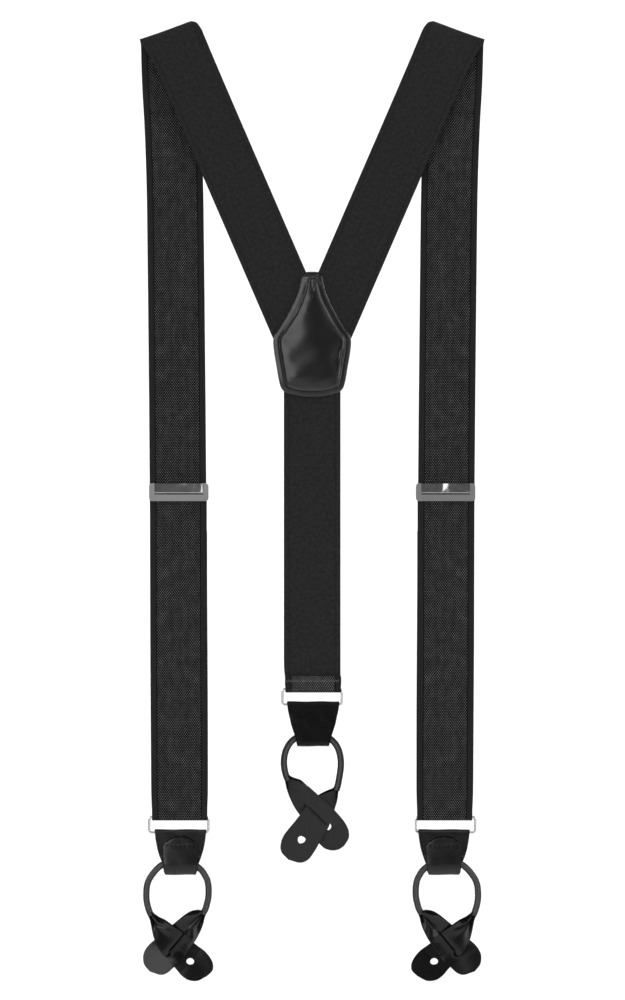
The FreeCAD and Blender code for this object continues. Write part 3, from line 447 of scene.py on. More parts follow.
def join(name, obs):
    """One object from several."""
    bpy.ops.object.select_all(action="DESELECT")
    for o in obs:
        o.select_set(True)
    bpy.context.view_layer.objects.active = obs[0]
    bpy.ops.object.join()
    obs[0].name = name
    obs[0].data.name = name
    return obs[0]


def flip_x(ob, name):
    """A mirrored copy."""
    me = ob.data.copy()
    me.transform(Matrix.Diagonal((-1, 1, 1, 1)))
    me.flip_normals()
    new = bpy.data.objects.new(name, me)
    scene.collection.objects.link(new)
    return new


def stitch(name, a, b, rad, mat, sag=0.25, normal=(0, -1, 0), n=7):
    """One stitch from a to b in mm, diving into the surface at both ends."""
    a, b, nrm = np.array(a, float), np.array(b, float), np.array(normal, float)
    t = np.linspace(0, 1, n)
    lift = np.sin(np.pi * t) ** 0.6 * (rad * 0.95) - rad * 0.85
    pts = a + (b - a) * t[:, None] + nrm * lift[:, None]
    up = np.cross(b - a, nrm)
    return tube(name, pts, rad * (0.75 + 0.25 * np.sin(np.pi * t)), mat, sides=8, up=nrm)


# ------------------------------------------------------------------ webbing
W = 34.8
HALF = W / 2
TH = 1.2
FOLD = np.array([-87.0, 4.35, -4.0])
SL = math.radians(14)
AX = np.array([math.cos(SL), 0, math.sin(SL)])
DB = np.array([math.sin(math.radians(23.4)), 0, -math.cos(math.radians(23.4))])  # down the back strap
NB = np.array([DB[2] * -1, 0, DB[0]])  # across the back strap, to the right and up
cols = edge_columns(HALF)
u = cols[None, :]


def fold_radius(s):
    """The webbing turns tightly at its outer corner and stands open at the inner one."""
    k = (np.asarray(s) + HALF) / W
    return 2.5 + 3.7 * k ** 1.25


FOLD_X = -87.6
SLANT = math.radians(9.4)  # the fold isn't square to the strap


def fold_point(s):
    s = np.asarray(s, float)
    p = np.array([FOLD_X, FOLD[1], FOLD[2]]) + AX * (s[..., None] * 1.035 / math.cos(SLANT))
    return p


def back_row(d, s):
    """Point of the back strap's middle surface, d below the fold along the strap, s across."""
    s, d = np.asarray(s, float), np.asarray(d, float)
    wide = 1 + 0.035 * np.exp(-d / 14.0)
    top = np.array([FOLD_X, FOLD[1], FOLD[2]]) + AX * (s * wide / math.cos(SLANT))[..., None]
    p = top + DB * d[..., None]
    late = np.exp(-d / 7.0)
    p[..., 0] += 2.3 * (1 - late) + 2.0 * sstep(s, -HALF, HALF) * late
    settle = np.exp(-(d / 17.0) ** 1.5)
    p[..., 1] = 0.6 + (FOLD[1] - fold_radius(s) - 0.6) * settle
    return p


CENTRE_D = [0, 14, 27, 39, 51, 76, 100, 162, 223, 285, 377, 407, 472, 520]
CENTRE_X = [-87.6, -87.45, -87.05, -86.45, -85.75, -84.8, -84.2, -83.5, -82.9, -82.4, -82.15, -81.95, -81.55, -81.5]


def front_centre(d):
    """Centreline of the front strap, d below the fold, smoothed."""
    d = np.asarray(d, float)
    k = np.array([-9.0, -4.5, 0, 4.5, 9.0])
    w = np.array([0.12, 0.22, 0.32, 0.22, 0.12])
    x = sum(wi * np.interp(np.abs(d + ki * np.clip(d / 20, 0, 1)), CENTRE_D, CENTRE_X) for ki, wi in zip(k, w))
    return x


def front_row(d, s):
    d, s = np.asarray(d, float), np.asarray(s, float)
    settle = np.exp(-(d / 20.0) ** 1.5)
    ease = np.exp(-(d / 38.0) ** 1.6)
    wide = 1 + 0.035 * np.exp(-d / 20.0)
    tilt = SL * ease
    x = front_centre(d) + s * wide * (np.cos(tilt) / (np.cos(SLANT) * ease + (1 - ease)))
    z = FOLD[2] - d + s * wide * np.sin(tilt) / (np.cos(SLANT) * ease + (1 - ease))
    y = 8.1 + (FOLD[1] + fold_radius(s) - 8.1) * settle
    return np.stack([x, y, z], -1)


def shoulder_mesh(side, m):
    """Back strap's top, the fold and the front strap's top as one piece: it bends at the shoulder."""
    rows, S, V = [], [], []
    db = np.linspace(42, 0, 30)
    for d in db:
        rows.append(back_row(np.full_like(cols, d), cols))
        V.append(d + cols * math.tan(math.radians(9.4)))
    for k in np.linspace(0, 1, 17)[1:-1]:
        th = math.pi * k
        r = fold_radius(cols)
        p = fold_point(cols)
        p[:, 1] = FOLD[1] - r * math.cos(th)
        lift = r * math.sin(th)
        p[:, 0] += -math.sin(SL) * lift * 0.9
        p[:, 2] += math.cos(SL) * lift
        # the corner at the inner edge is rounded off
        p[:, 2] -= 2.2 * math.sin(th) ** 2 * sstep(cols, HALF - 5.0, HALF + 0.6) ** 2
        p[:, 0] += 2.0 * sstep(cols, -HALF, HALF) * (1 - math.sin(th)) * (1 if k < 0.5 else 0)
        rows.append(p)
        V.append(-12 * k + cols * math.tan(math.radians(9.4)))
    df = np.linspace(0, 46, 30)
    for d in df:
        rows.append(front_row(np.full_like(cols, d), cols))
        V.append(-12 - d + cols * math.tan(math.radians(4.6)) * math.exp(-d / 38.0))
    P = np.array(rows)
    S = np.repeat(cols[None, :], len(P), 0)
    ob = band(side + "_web_shoulder", P, S, np.array(V), TH, [M_SMOOTH, M_TWILL], mirror=m < 0, cap=(False, False))
    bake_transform(ob)
    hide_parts(side + "_strap_shoulder_fold", side + "_strap_upper")


def back_mesh(side, m):
    rows, V = [], []
    for d in np.linspace(42, 214, 60):
        rows.append(back_row(np.full_like(cols, d), cols))
        V.append(d + cols * math.tan(math.radians(9.4)))
    P = np.array(rows)[::-1]
    V = np.array(V)[::-1]
    # the straps meet under the patch, one lying over the other's edge
    P[..., 1] += sstep(P[..., 0], -6.0, 10.0) * (1.3 if m > 0 else 0.0)
    P[..., 0] = np.minimum(P[..., 0], 17.0)
    S = np.repeat(cols[None, :], len(P), 0)
    ob = band(side + "_web_back", P, S, V, TH, [M_SMOOTH, M_TWILL], mirror=m < 0, cap=(True, False))
    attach(ob, "back")
    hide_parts(side + "_strap_back")


def front_mesh(side, m):
    """Front strap down to the ring and round it."""
    rows, V = [], []
    for d in np.linspace(46, 472, 110):
        rows.append(front_row(np.full_like(cols, d), cols))
        V.append(-12 - d + 0 * cols)
    z0, yin, rr = -482.8, 8.1, 2.3
    half_t = 17.0
    zt = np.linspace(-478, z0, 5)
    for z in zt:
        rows.append(np.stack([-81.5 + cols, np.full_like(cols, yin), np.full_like(cols, z)], -1))
        V.append(-12 + z + 4 + 0 * cols)
    for a in np.linspace(0, math.pi, 13)[1:-1]:
        rows.append(np.stack([-81.5 + cols, np.full_like(cols, 10.4 - rr * math.cos(a)), np.full_like(cols, z0 - rr * math.sin(a))], -1))
        V.append(-12 + z0 + 4 - rr * a + 0 * cols)
    for z in (z0, -479.0, -476.0):
        rows.append(np.stack([-81.5 + cols, np.full_like(cols, 12.7), np.full_like(cols, z)], -1))
        V.append(-12 + z0 + 4 - rr * math.pi - (z - z0) + 0 * cols)
    P = np.array(rows)
    # slightly narrower where it turns in the ring
    k = sstep(-P[..., 2], 466, 482)
    P[..., 0] += k * (-81.5 - P[..., 0]) * (1 - half_t / HALF)
    S = np.repeat(cols[None, :], len(P), 0)
    ob = band(side + "_web_front", P, S, np.array(V), TH, [M_SMOOTH, M_TWILL], mirror=m < 0, cap=(False, False))
    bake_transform(ob)
    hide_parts(side + "_strap_front", side + "_strap_front_lower", side + "_strap_ring_turn")


def return_mesh(side, m):
    rows, V = [], []
    for z in np.linspace(-476, -307.8, 50):
        k = float(sstep(-z, 466, 482))
        rows.append(np.stack([-81.5 - 0.5 * float(sstep(z, -440, -320)) + cols * (1 - k * (1 - 17.0 / HALF)), np.full_like(cols, 12.7), np.full_like(cols, z)], -1))
        V.append(z + 0 * cols)
    P = np.array(rows)[::-1]
    S = np.repeat(cols[None, :], len(P), 0)
    ob = band(side + "_web_return", P, S, np.array(V)[::-1], TH, [M_TWILL, M_SMOOTH], mirror=m < 0, cap=(False, False))
    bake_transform(ob)
    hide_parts(side + "_strap_return")


def end_loop_mesh(side, m):
    """The strap's end: up over the adjuster's bar, down, and sewn to itself."""
    c = cols * (17.2 / HALF)
    rows, V = [], []
    yc, zc = 11.1, -286.4
    for z in np.linspace(-307.8, zc, 9):
        rows.append(np.stack([-82.0 + c, np.full_like(c, yc + 1.6), np.full_like(c, z)], -1))
        V.append(z + 0 * c)
    for a in np.linspace(0, math.pi, 11)[1:-1]:
        rows.append(np.stack([-82.0 + c, np.full_like(c, yc + 1.6 * math.cos(a)), np.full_like(c, zc + 1.6 * math.sin(a))], -1))
        V.append(zc + 1.6 * a + 0 * c)
    for z in np.linspace(zc, -307.8, 9):
        k = float(sstep(-z, 291, 299))
        rows.append(np.stack([-82.0 + c, np.full_like(c, yc - 1.6 + 1.9 * k - (0.0 if k < 1 else 0.0)), np.full_like(c, z)], -1))
        V.append(zc + 5 - z + zc + 0 * c)
    P = np.array(rows)
    S = np.repeat(cols[None, :], len(P), 0)
    ob = band(side + "_web_end_loop", P, S, np.array(V), TH, [M_SMOOTH, M_TWILL], mirror=m < 0)
    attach(ob, side + "_adjuster")
    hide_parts(side + "_strap_end_loop")
    # two rows of stitches through both layers, seen on the outside
    pieces = []
    n = 14
    for row_z in (-301.2, -304.2):
        for i in range(n):
            x = -m * 82.0 - 16.0 + 32.0 * (i + 0.5) / n
            z = row_z
            pieces.append(stitch("st", (x - 0.85, 13.32, z), (x + 0.85, 13.32, z), 0.27, M_THREAD_GREY, normal=(0, 1, 0)))
    st = join(side + "_end_stitches", pieces)
    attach(st, side + "_adjuster")
    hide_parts(side + "_strap_end_stitching")


def rear_web():
    """Rear strap from inside the patch to its hem round the ring."""
    rows, V = [], []
    for z in np.linspace(-200, -388, 60):
        y = 2.0 + 0 * cols
        rows.append(np.stack([cols, y, np.full_like(cols, z)], -1))
        V.append(z + 0 * cols)
    P = np.array(rows)
    S = np.repeat(cols[None, :], len(P), 0)
    ob = band("rear_web", P, S, np.array(V), TH, [M_TWILL, M_SMOOTH], cap=(True, False))
    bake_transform(ob)
    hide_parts("rear_strap", "rear_strap_lower")
    # hem
    path = [(2.0, -388.0), (2.0, -393.0), (2.0, -399.0), (2.0, -404.35)]
    zc, yc, r = -404.35, 0.1, 1.9
    for a in np.linspace(0, math.pi, 13)[1:-1]:
        path.append((yc + r * math.cos(a), zc - r * math.sin(a)))
    path += [(-1.8, -404.35), (-1.78, -402.8), (-1.5, -401.6), (-0.75, -400.6), (0.1, -399.9), (0.52, -399.2), (0.60, -398.2), (0.62, -396.9)]
    path = np.array(path)
    t = np.concatenate([[0], np.cumsum(np.linalg.norm(np.diff(path, axis=0), axis=1))])
    tt = np.concatenate([np.linspace(0, 16, 6), np.linspace(16.3, t[-1], 40)])
    ys, zs = np.interp(tt, t, path[:, 0]), np.interp(tt, t, path[:, 1])
    rows, V = [], []
    for q, (y, z) in enumerate(zip(ys, zs)):
        wide = 1 - float(sstep(tt[q], 2, 14)) * (1 - 16.9 / HALF) + float(sstep(tt[q], 22, 26)) * 0.012
        wob = 0.10 * np.sin(cols * 0.7 + 1.0) * float(sstep(tt[q], 24, 28))
        aside = 0.55 * float(sstep(tt[q], 2, 14))
        rows.append(np.stack([aside + cols * (wide + 0.012 * float(sstep(tt[q], 14, 24))), y + wob * 0.4, z + wob], -1))
        V.append(-388 - tt[q] + 0 * cols)
    P = np.array(rows)
    S = np.repeat(cols[None, :], len(P), 0)
    hem = band("rear_web_hem", P, S, np.array(V), TH, [M_TWILL_HEM, M_SMOOTH])
    hem.data.materials.append(M_TWILL)
    for k, p in enumerate(hem.data.polygons):
        if p.material_index == 0 and k < 20 * (len(cols) - 1):
            p.material_index = 2
    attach(hem, "rear_end")
    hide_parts("rear_strap_hem")
    # one row of zig-zag thread across the hem
    xs = np.linspace(-16.3, 16.3, 33)
    zz = -399.75 + 0.8 * np.where(np.arange(33) % 2 == 0, 1, -1)
    yy = np.interp(-zz, [398.9, 399.2, 399.9, 400.6, 401.6], [-0.02, -0.10, -0.52, -1.38, -2.12]) + 0.0 * xs
    pts = np.stack([xs, yy, zz], -1)
    fine = []
    for i in range(len(pts) - 1):
        for k in range(4):
            fine.append(pts[i] + (pts[i + 1] - pts[i]) * k / 4)
    fine.append(pts[-1])
    z1 = tube("rear_hem_zigzag", np.array(fine), 0.22, M_THREAD_GREY, sides=8)
    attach(z1, "rear_end")
    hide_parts("rear_hem_stitching")


for side, m in (("left", 1), ("right", -1)):
    shoulder_mesh(side, m)
    back_mesh(side, m)
    front_mesh(side, m)
    return_mesh(side, m)
    end_loop_mesh(side, m)
rear_web()


# ------------------------------------------------------------------ back patch
def catmull(points, n):
    P = np.array(points, float)
    k = len(P)
    out = []
    seg = np.linalg.norm(np.roll(P, -1, 0) - P, axis=1)
    total = seg.sum()
    for i in range(k):
        p0, p1, p2, p3 = P[i - 1], P[i], P[(i + 1) % k], P[(i + 2) % k]
        steps = max(2, int(round(n * seg[i] / total)))
        for q in range(steps):
            s = q / steps
            out.append(0.5 * ((2 * p1) + (-p0 + p2) * s + (2 * p0 - 5 * p1 + 4 * p2 - p3) * s * s + (-p0 + 3 * p1 - 3 * p2 + p3) * s**3))
    return np.array(out)


HALF_OUT = [
    (0.0, -148.3), (3.2, -148.5), (5.6, -149.9), (6.7, -153.5), (8.4, -160.5), (11.0, -167.0), (15.3, -175.2), (20.0, -182.8),
    (23.0, -187.2), (24.0, -191.0), (23.4, -198.0), (21.9, -207.0), (20.4, -215.6), (18.6, -220.6), (14.5, -223.4), (7.0, -225.0), (0.0, -225.4),
]
full = HALF_OUT + [(-x, z) for x, z in HALF_OUT[-2:0:-1]]
OUT = catmull(full, 260)


def resample(C, n):
    D = np.vstack([C, C[:1]])
    t = np.concatenate([[0], np.cumsum(np.linalg.norm(np.diff(D, axis=0), axis=1))])
    tt = np.linspace(0, t[-1], n, endpoint=False)
    return np.stack([np.interp(tt, t, D[:, 0]), np.interp(tt, t, D[:, 1])], -1), t[-1]


OUT, perimeter = resample(OUT, 280)


def edge_distance(p):
    A = OUT
    B = np.roll(OUT, -1, 0)
    ab = B - A
    ap = p[None, :] - A
    t = np.clip((ap * ab).sum(1) / (ab * ab).sum(1), 0, 1)
    return np.sqrt((((A + ab * t[:, None]) - p) ** 2).sum(1).min())


def leather_plate(name, y_front, y_back, mats, puff, facing):
    """The patch's shape as a leather sheet from y_back to y_front, the raised side facing along facing."""
    centre = np.stack([np.zeros(len(OUT)), np.clip(OUT[:, 1], -211, -163)], -1)
    fr = np.concatenate([np.linspace(0, 0.04, 5), np.linspace(0.055, 0.36, 22), np.linspace(0.385, 1.0, 22)])
    verts, faces = [], []
    n = len(OUT)
    pts = [OUT + (centre - OUT) * f for f in fr]

    def over(z, y):
        """Leather turning over the crotch of the straps at the tip."""
        t = float(np.clip((z + 152.6) / 4.3, 0, 1))
        return 1.35 + (y - 1.35) * math.sqrt(max(0.0, 1 - t * t * 0.985))

    for ring in pts:
        for p in ring:
            d = edge_distance(p)
            rim = 0.6 * (1 - math.sqrt(max(0.0, 1 - (1 - min(d / 0.6, 1)) ** 2)))
            h = y_front - facing * rim
            if puff:
                zz = p[1]
                wide = float(np.interp(-zz, [148, 153.5, 160.5, 167, 175.2, 182.8, 191, 207, 220, 226], [5.5, 6.7, 8.4, 11.0, 15.3, 20.0, 24.0, 21.9, 18.6, 17.5]))
                flange = 0.17 * min(d, 3.7) + 0.16 * math.sin(math.pi * min(max(d, 0.0), 3.7) / 3.7)
                groove = -0.22 * math.exp(-(((d - 3.75) / 0.34) ** 2))
                rise = float(sstep(d, 3.9, 5.4))
                across = max(0.0, 1 - (p[0] / max(wide - 3.4, 1.0)) ** 2)
                foot = max(0.0, 1 - max(0.0, (-zz - 196.0) / 26.0) ** 3)
                dome = 0.30 * rise + 2.0 * across * foot * min(1.0, (wide - 3.4) / 12.0)
                low = 0.0
                waves = 0.05 * math.sin(zz * 0.8 + 0.5 * p[0]) * rise * math.exp(-(((d - 5.6) / 2.2) ** 2))
                slack = 0.15 * math.sin(0.15 * (zz + 200) + 0.20 * p[0]) * float(sstep(d, 4, 12)) + 0.10 * math.sin(0.33 * zz - 0.25 * p[0]) * float(sstep(d, 4, 11))
                pinch = -0.75 * math.exp(-(((p[0] - 0.7) / 0.75) ** 2)) * float(sstep(zz, -163.0, -155.0)) * (1 - float(sstep(zz, -151.6, -150.4)))
                knot = 0.45 * math.exp(-(((p[0] - 0.2) / 1.7) ** 2 + ((zz + 150.6) / 0.85) ** 2))
                side = 0.35 * float(sstep(zz, -160, -153)) * math.exp(-((abs(p[0] - 0.6) - 3.0) / 1.3) ** 2)
                lip = 0.42 * math.exp(-(((d - 5.5) / 1.0) ** 2) - ((zz + 200.0) / 7.0) ** 2) * (1.0 if p[0] > 6 else 0.0)
                h += facing * (flange + groove + lip + dome - low + waves + slack + pinch + knot + side)
            # lower edge lies closer to the rear strap
            h -= facing * 0.9 * float(sstep(-p[1], 212, 226))
            verts.append((p[0], over(p[1], h), p[1]))
    rows = len(fr)
    for r in range(rows - 1):
        for k in range(n):
            a, b = r * n + k, r * n + (k + 1) % n
            faces.append((a, b, b + n, a + n))
    base = len(verts)
    for f in (0.0, 0.05, 0.3, 1.0):
        ring = OUT + (centre - OUT) * f
        for p in ring:
            verts.append((p[0], over(p[1], y_back - facing * 0.9 * float(sstep(-p[1], 212, 226)) * 0.9), p[1]))
    for r in range(3):
        for k in range(n):
            a, b = base + r * n + k, base + r * n + (k + 1) % n
            faces.append((a, a + n, b + n, b))
    for k in range(n):
        a, b = k, (k + 1) % n
        faces.append((a, base + k, base + (k + 1) % n, b))
    ob = make(name, np.array(verts) * MM, faces, mats)
    bm = bmesh.new()
    bm.from_mesh(ob.data)
    bmesh.ops.remove_doubles(bm, verts=bm.verts, dist=2e-6)
    bmesh.ops.recalc_face_normals(bm, faces=bm.faces)
    bm.to_mesh(ob.data)
    bm.free()
    ob.data.polygons.foreach_set("use_smooth", [True] * len(ob.data.polygons))
    return ob


face = leather_plate("back_patch_leather", -1.4, -0.15, [M_PATCH], True, -1)
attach(face, "back")
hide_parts("back_patch_face")
lining = leather_plate("back_patch_inside", 4.1, 2.85, [M_LINING], False, 1)
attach(lining, "back")
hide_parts("back_patch_lining")


def inset_line(d):
    A = OUT
    tan = np.roll(A, -1, 0) - np.roll(A, 1, 0)
    tan /= np.linalg.norm(tan, axis=1, keepdims=True)
    nrm = np.stack([-tan[:, 1], tan[:, 0]], -1)
    area = (A[:, 0] * np.roll(A[:, 1], -1) - np.roll(A[:, 0], -1) * A[:, 1]).sum()
    if area < 0:
        nrm = -nrm
    return A + nrm * d


seam = inset_line(3.7)
seam, seam_len = resample(seam, 700)
count = int(seam_len / 2.75)
pieces = []
lens = np.linspace(0, len(seam), count, endpoint=False)
for q in lens:
    i0 = int(q)
    span = 1.5 / (seam_len / len(seam))
    a, b = seam[i0 % len(seam)], seam[int(q + span) % len(seam)]
    if max(a[1], b[1]) > -158.5:
        continue
    low = 0.9 * float(sstep(-(a[1] + b[1]) / 2, 212, 226))
    y = -1.68 + low
    pieces.append(stitch("ps", (a[0], y, a[1]), (b[0], y, b[1]), 0.27, M_THREAD))
seam_obj = join("back_patch_seam", pieces)
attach(seam_obj, "back")
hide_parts("back_patch_stitching")


# ------------------------------------------------------------------ leather tabs
FRONT_TAB_W = ([0, 2.3, 6.3, 10.9, 16.1, 22.0, 27.1], [9.1, 10.3, 10.95, 12.7, 14.3, 15.35, 15.9])
REAR_TAB_W = ([0, 1.2, 5.2, 13.5, 22.6, 27.1], [9.4, 10.0, 10.9, 13.6, 15.6, 16.1])


def tab_mesh(side, x, yr, z_bar, s, mat, table):
    """One strip of leather: down behind the ring, over it, down the far side, round the cord and up as the flap."""
    r1, r2, t = 1.55 + 0.6, 2.15 + 0.6, 1.2
    zc1 = z_bar + 0.85 - 1.55
    top = zc1 + 1.55 + 1.2
    bottom = top - (28.2 if s > 0 else 27.8)
    zc2 = bottom + 1.2 + 2.15
    yc2 = 1.55 - 2.15
    path, w = [], []

    def taper(z):
        return float(np.interp(z - bottom, *table))

    seam_z = zc2 + 14.6
    z_near = zc2 + 7.6
    for z in np.linspace(z_near, zc1, 12):
        path.append((-r1, z))
        w.append(taper(z))
    for a in np.linspace(0, math.pi, 14)[1:-1]:
        path.append((-r1 * math.cos(a), zc1 + r1 * math.sin(a)))
        w.append(taper(min(top, zc1 + r1 * math.sin(a))))
    for z in np.linspace(zc1, zc2, 24):
        path.append((r1, z))
        w.append(taper(z))
    for a in np.linspace(0, math.pi, 14)[1:-1]:
        path.append((yc2 + r2 * math.cos(a), zc2 - r2 * math.sin(a)))
        w.append(taper(zc2 - r2 * math.sin(a)) if a < math.pi / 2 else min(taper(zc2 - r2 * math.sin(a)), 10.25))
    fw, rise = 11.2, 5.8
    rad = (fw * fw + rise * rise) / (2 * rise)
    top_flap = seam_z + rise - 0.15
    for q, z in enumerate(list(np.linspace(zc2, seam_z, 18)) + list(seam_z + (top_flap - seam_z) * np.sin(np.linspace(0.06, math.pi / 2, 22)))):
        bulge = 0.55 * math.exp(-(((z - (zc2 + 3.6)) / 3.4) ** 2))
        press = 0.14 * math.exp(-(((z - seam_z) / 1.0) ** 2))
        path.append((yc2 - r2 - bulge + press, z))
        if z <= seam_z:
            w.append(float(np.interp(z, [zc2, seam_z], [10.25, fw])))
        else:
            w.append(math.sqrt(max(0.04, rad * rad - (z - (seam_z + rise - rad)) ** 2)))
    path = np.array(path)
    w = np.array(w)
    c0 = edge_columns(1.0, 22, 0.05)
    rows, S, V = [], [], []
    length = np.concatenate([[0], np.cumsum(np.linalg.norm(np.diff(path, axis=0), axis=1))])
    for i in range(len(path)):
        d = path[i, 0]
        col = c0 * w[i]
        # the flap's sides curl back over the cord
        flap = float(sstep(length[i], length[-1] - 26, length[-1] - 20))
        curl = flap * 0.50 * np.abs(c0) ** 4
        wave = 0.05 * np.sin(col * 0.5 + path[i, 1] * 0.35)
        if s < 0:
            wave = wave + (1.0 if d > 0 else 0.0) * 0.55 * np.exp(-0.5 * (((col + 11.0) / 2.0) ** 2 + ((path[i, 1] + 422.6) / 1.7) ** 2))
        rows.append(np.stack([x + col, yr + s * (d + curl + wave), np.full_like(col, path[i, 1]) + 0.12 * np.sin(col * 0.35)], -1))
        S.append(col)
        V.append(length[i] + 0 * col)
    P, S, V = np.array(rows), np.array(S), np.array(V)
    ob = band(side + "_tab", P, S, V, t, [mat, mat], edge=0.45)
    ob.data.materials.clear()
    ob.data.materials.append(mat)
    ob.data.materials.append(M_EDGE)
    zc_arc = seam_z + rise - rad
    nc, half_faces = len(c0), (len(path) - 1) * (len(c0) - 1)
    for k, p in enumerate(ob.data.polygons):
        dark = k >= 2 * half_faces
        if not dark:
            row, colm = divmod(k % half_faces, nc - 1)
            dark = abs(c0[colm] + c0[colm + 1]) / 2 * w[row] > w[row] - 0.42
            if path[row, 0] < yc2 - r2 + 0.3 and path[row, 1] > seam_z:
                dark = math.hypot((c0[colm] + c0[colm + 1]) / 2 * (w[row] + w[row + 1]) / 2, (path[row, 1] + path[row + 1, 1]) / 2 - zc_arc) > rad - 0.55 if row + 1 < len(path) else True
        p.material_index = 1 if dark else 0
    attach(ob, side + "_tab")
    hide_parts(side + "_leather_tab")
    # seam: short upright stitches through flap and tab
    pieces = []
    yf = yr + s * (yc2 - r2 + 0.14 - 0.6)
    yb = yr + s * (r1 + 0.6)
    for i in range(7):
        px = x + (i - 3) * 2.8
        pieces.append(stitch("ts", (px, yf, seam_z + 0.85), (px, yf, seam_z - 0.85), 0.3, M_THREAD, normal=(0, -s, 0)))
    for i in range(9):
        px = x + (i - 4) * 2.05
        pieces.append(stitch("tb", (px - 0.75, yb, seam_z), (px + 0.75, yb, seam_z), 0.24, M_THREAD, normal=(0, s, 0)))
    st = join(side + "_tab_stitches", pieces)
    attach(st, side + "_tab")
    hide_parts(side + "_tab_stitching")


tab_mesh("left", -81.0, 10.4, -493.05, 1, M_TAB, FRONT_TAB_W)
tab_mesh("right", 81.0, 10.4, -493.05, 1, M_TAB, FRONT_TAB_W)
tab_mesh("rear", 0.6, 0.1, -414.2, -1, M_TAB_REAR, REAR_TAB_W)


# ------------------------------------------------------------------ cords and ears
def spline(points, sub):
    """Catmull-Rom curve through points, sub steps for each span, with the ends."""
    P = np.array(points, float)
    P = np.vstack([2 * P[0] - P[1], P, 2 * P[-1] - P[-2]])
    out = []
    for i in range(1, len(P) - 2):
        p0, p1, p2, p3 = P[i - 1], P[i], P[i + 1], P[i + 2]
        for q in range(sub):
            s = q / sub
            out.append(0.5 * ((2 * p1) + (-p0 + p2) * s + (2 * p0 - 5 * p1 + 4 * p2 - p3) * s * s + (-p0 + 3 * p1 - 3 * p2 + p3) * s**3))
    out.append(P[-2])
    return np.array(out)


EAR_T = 1.4


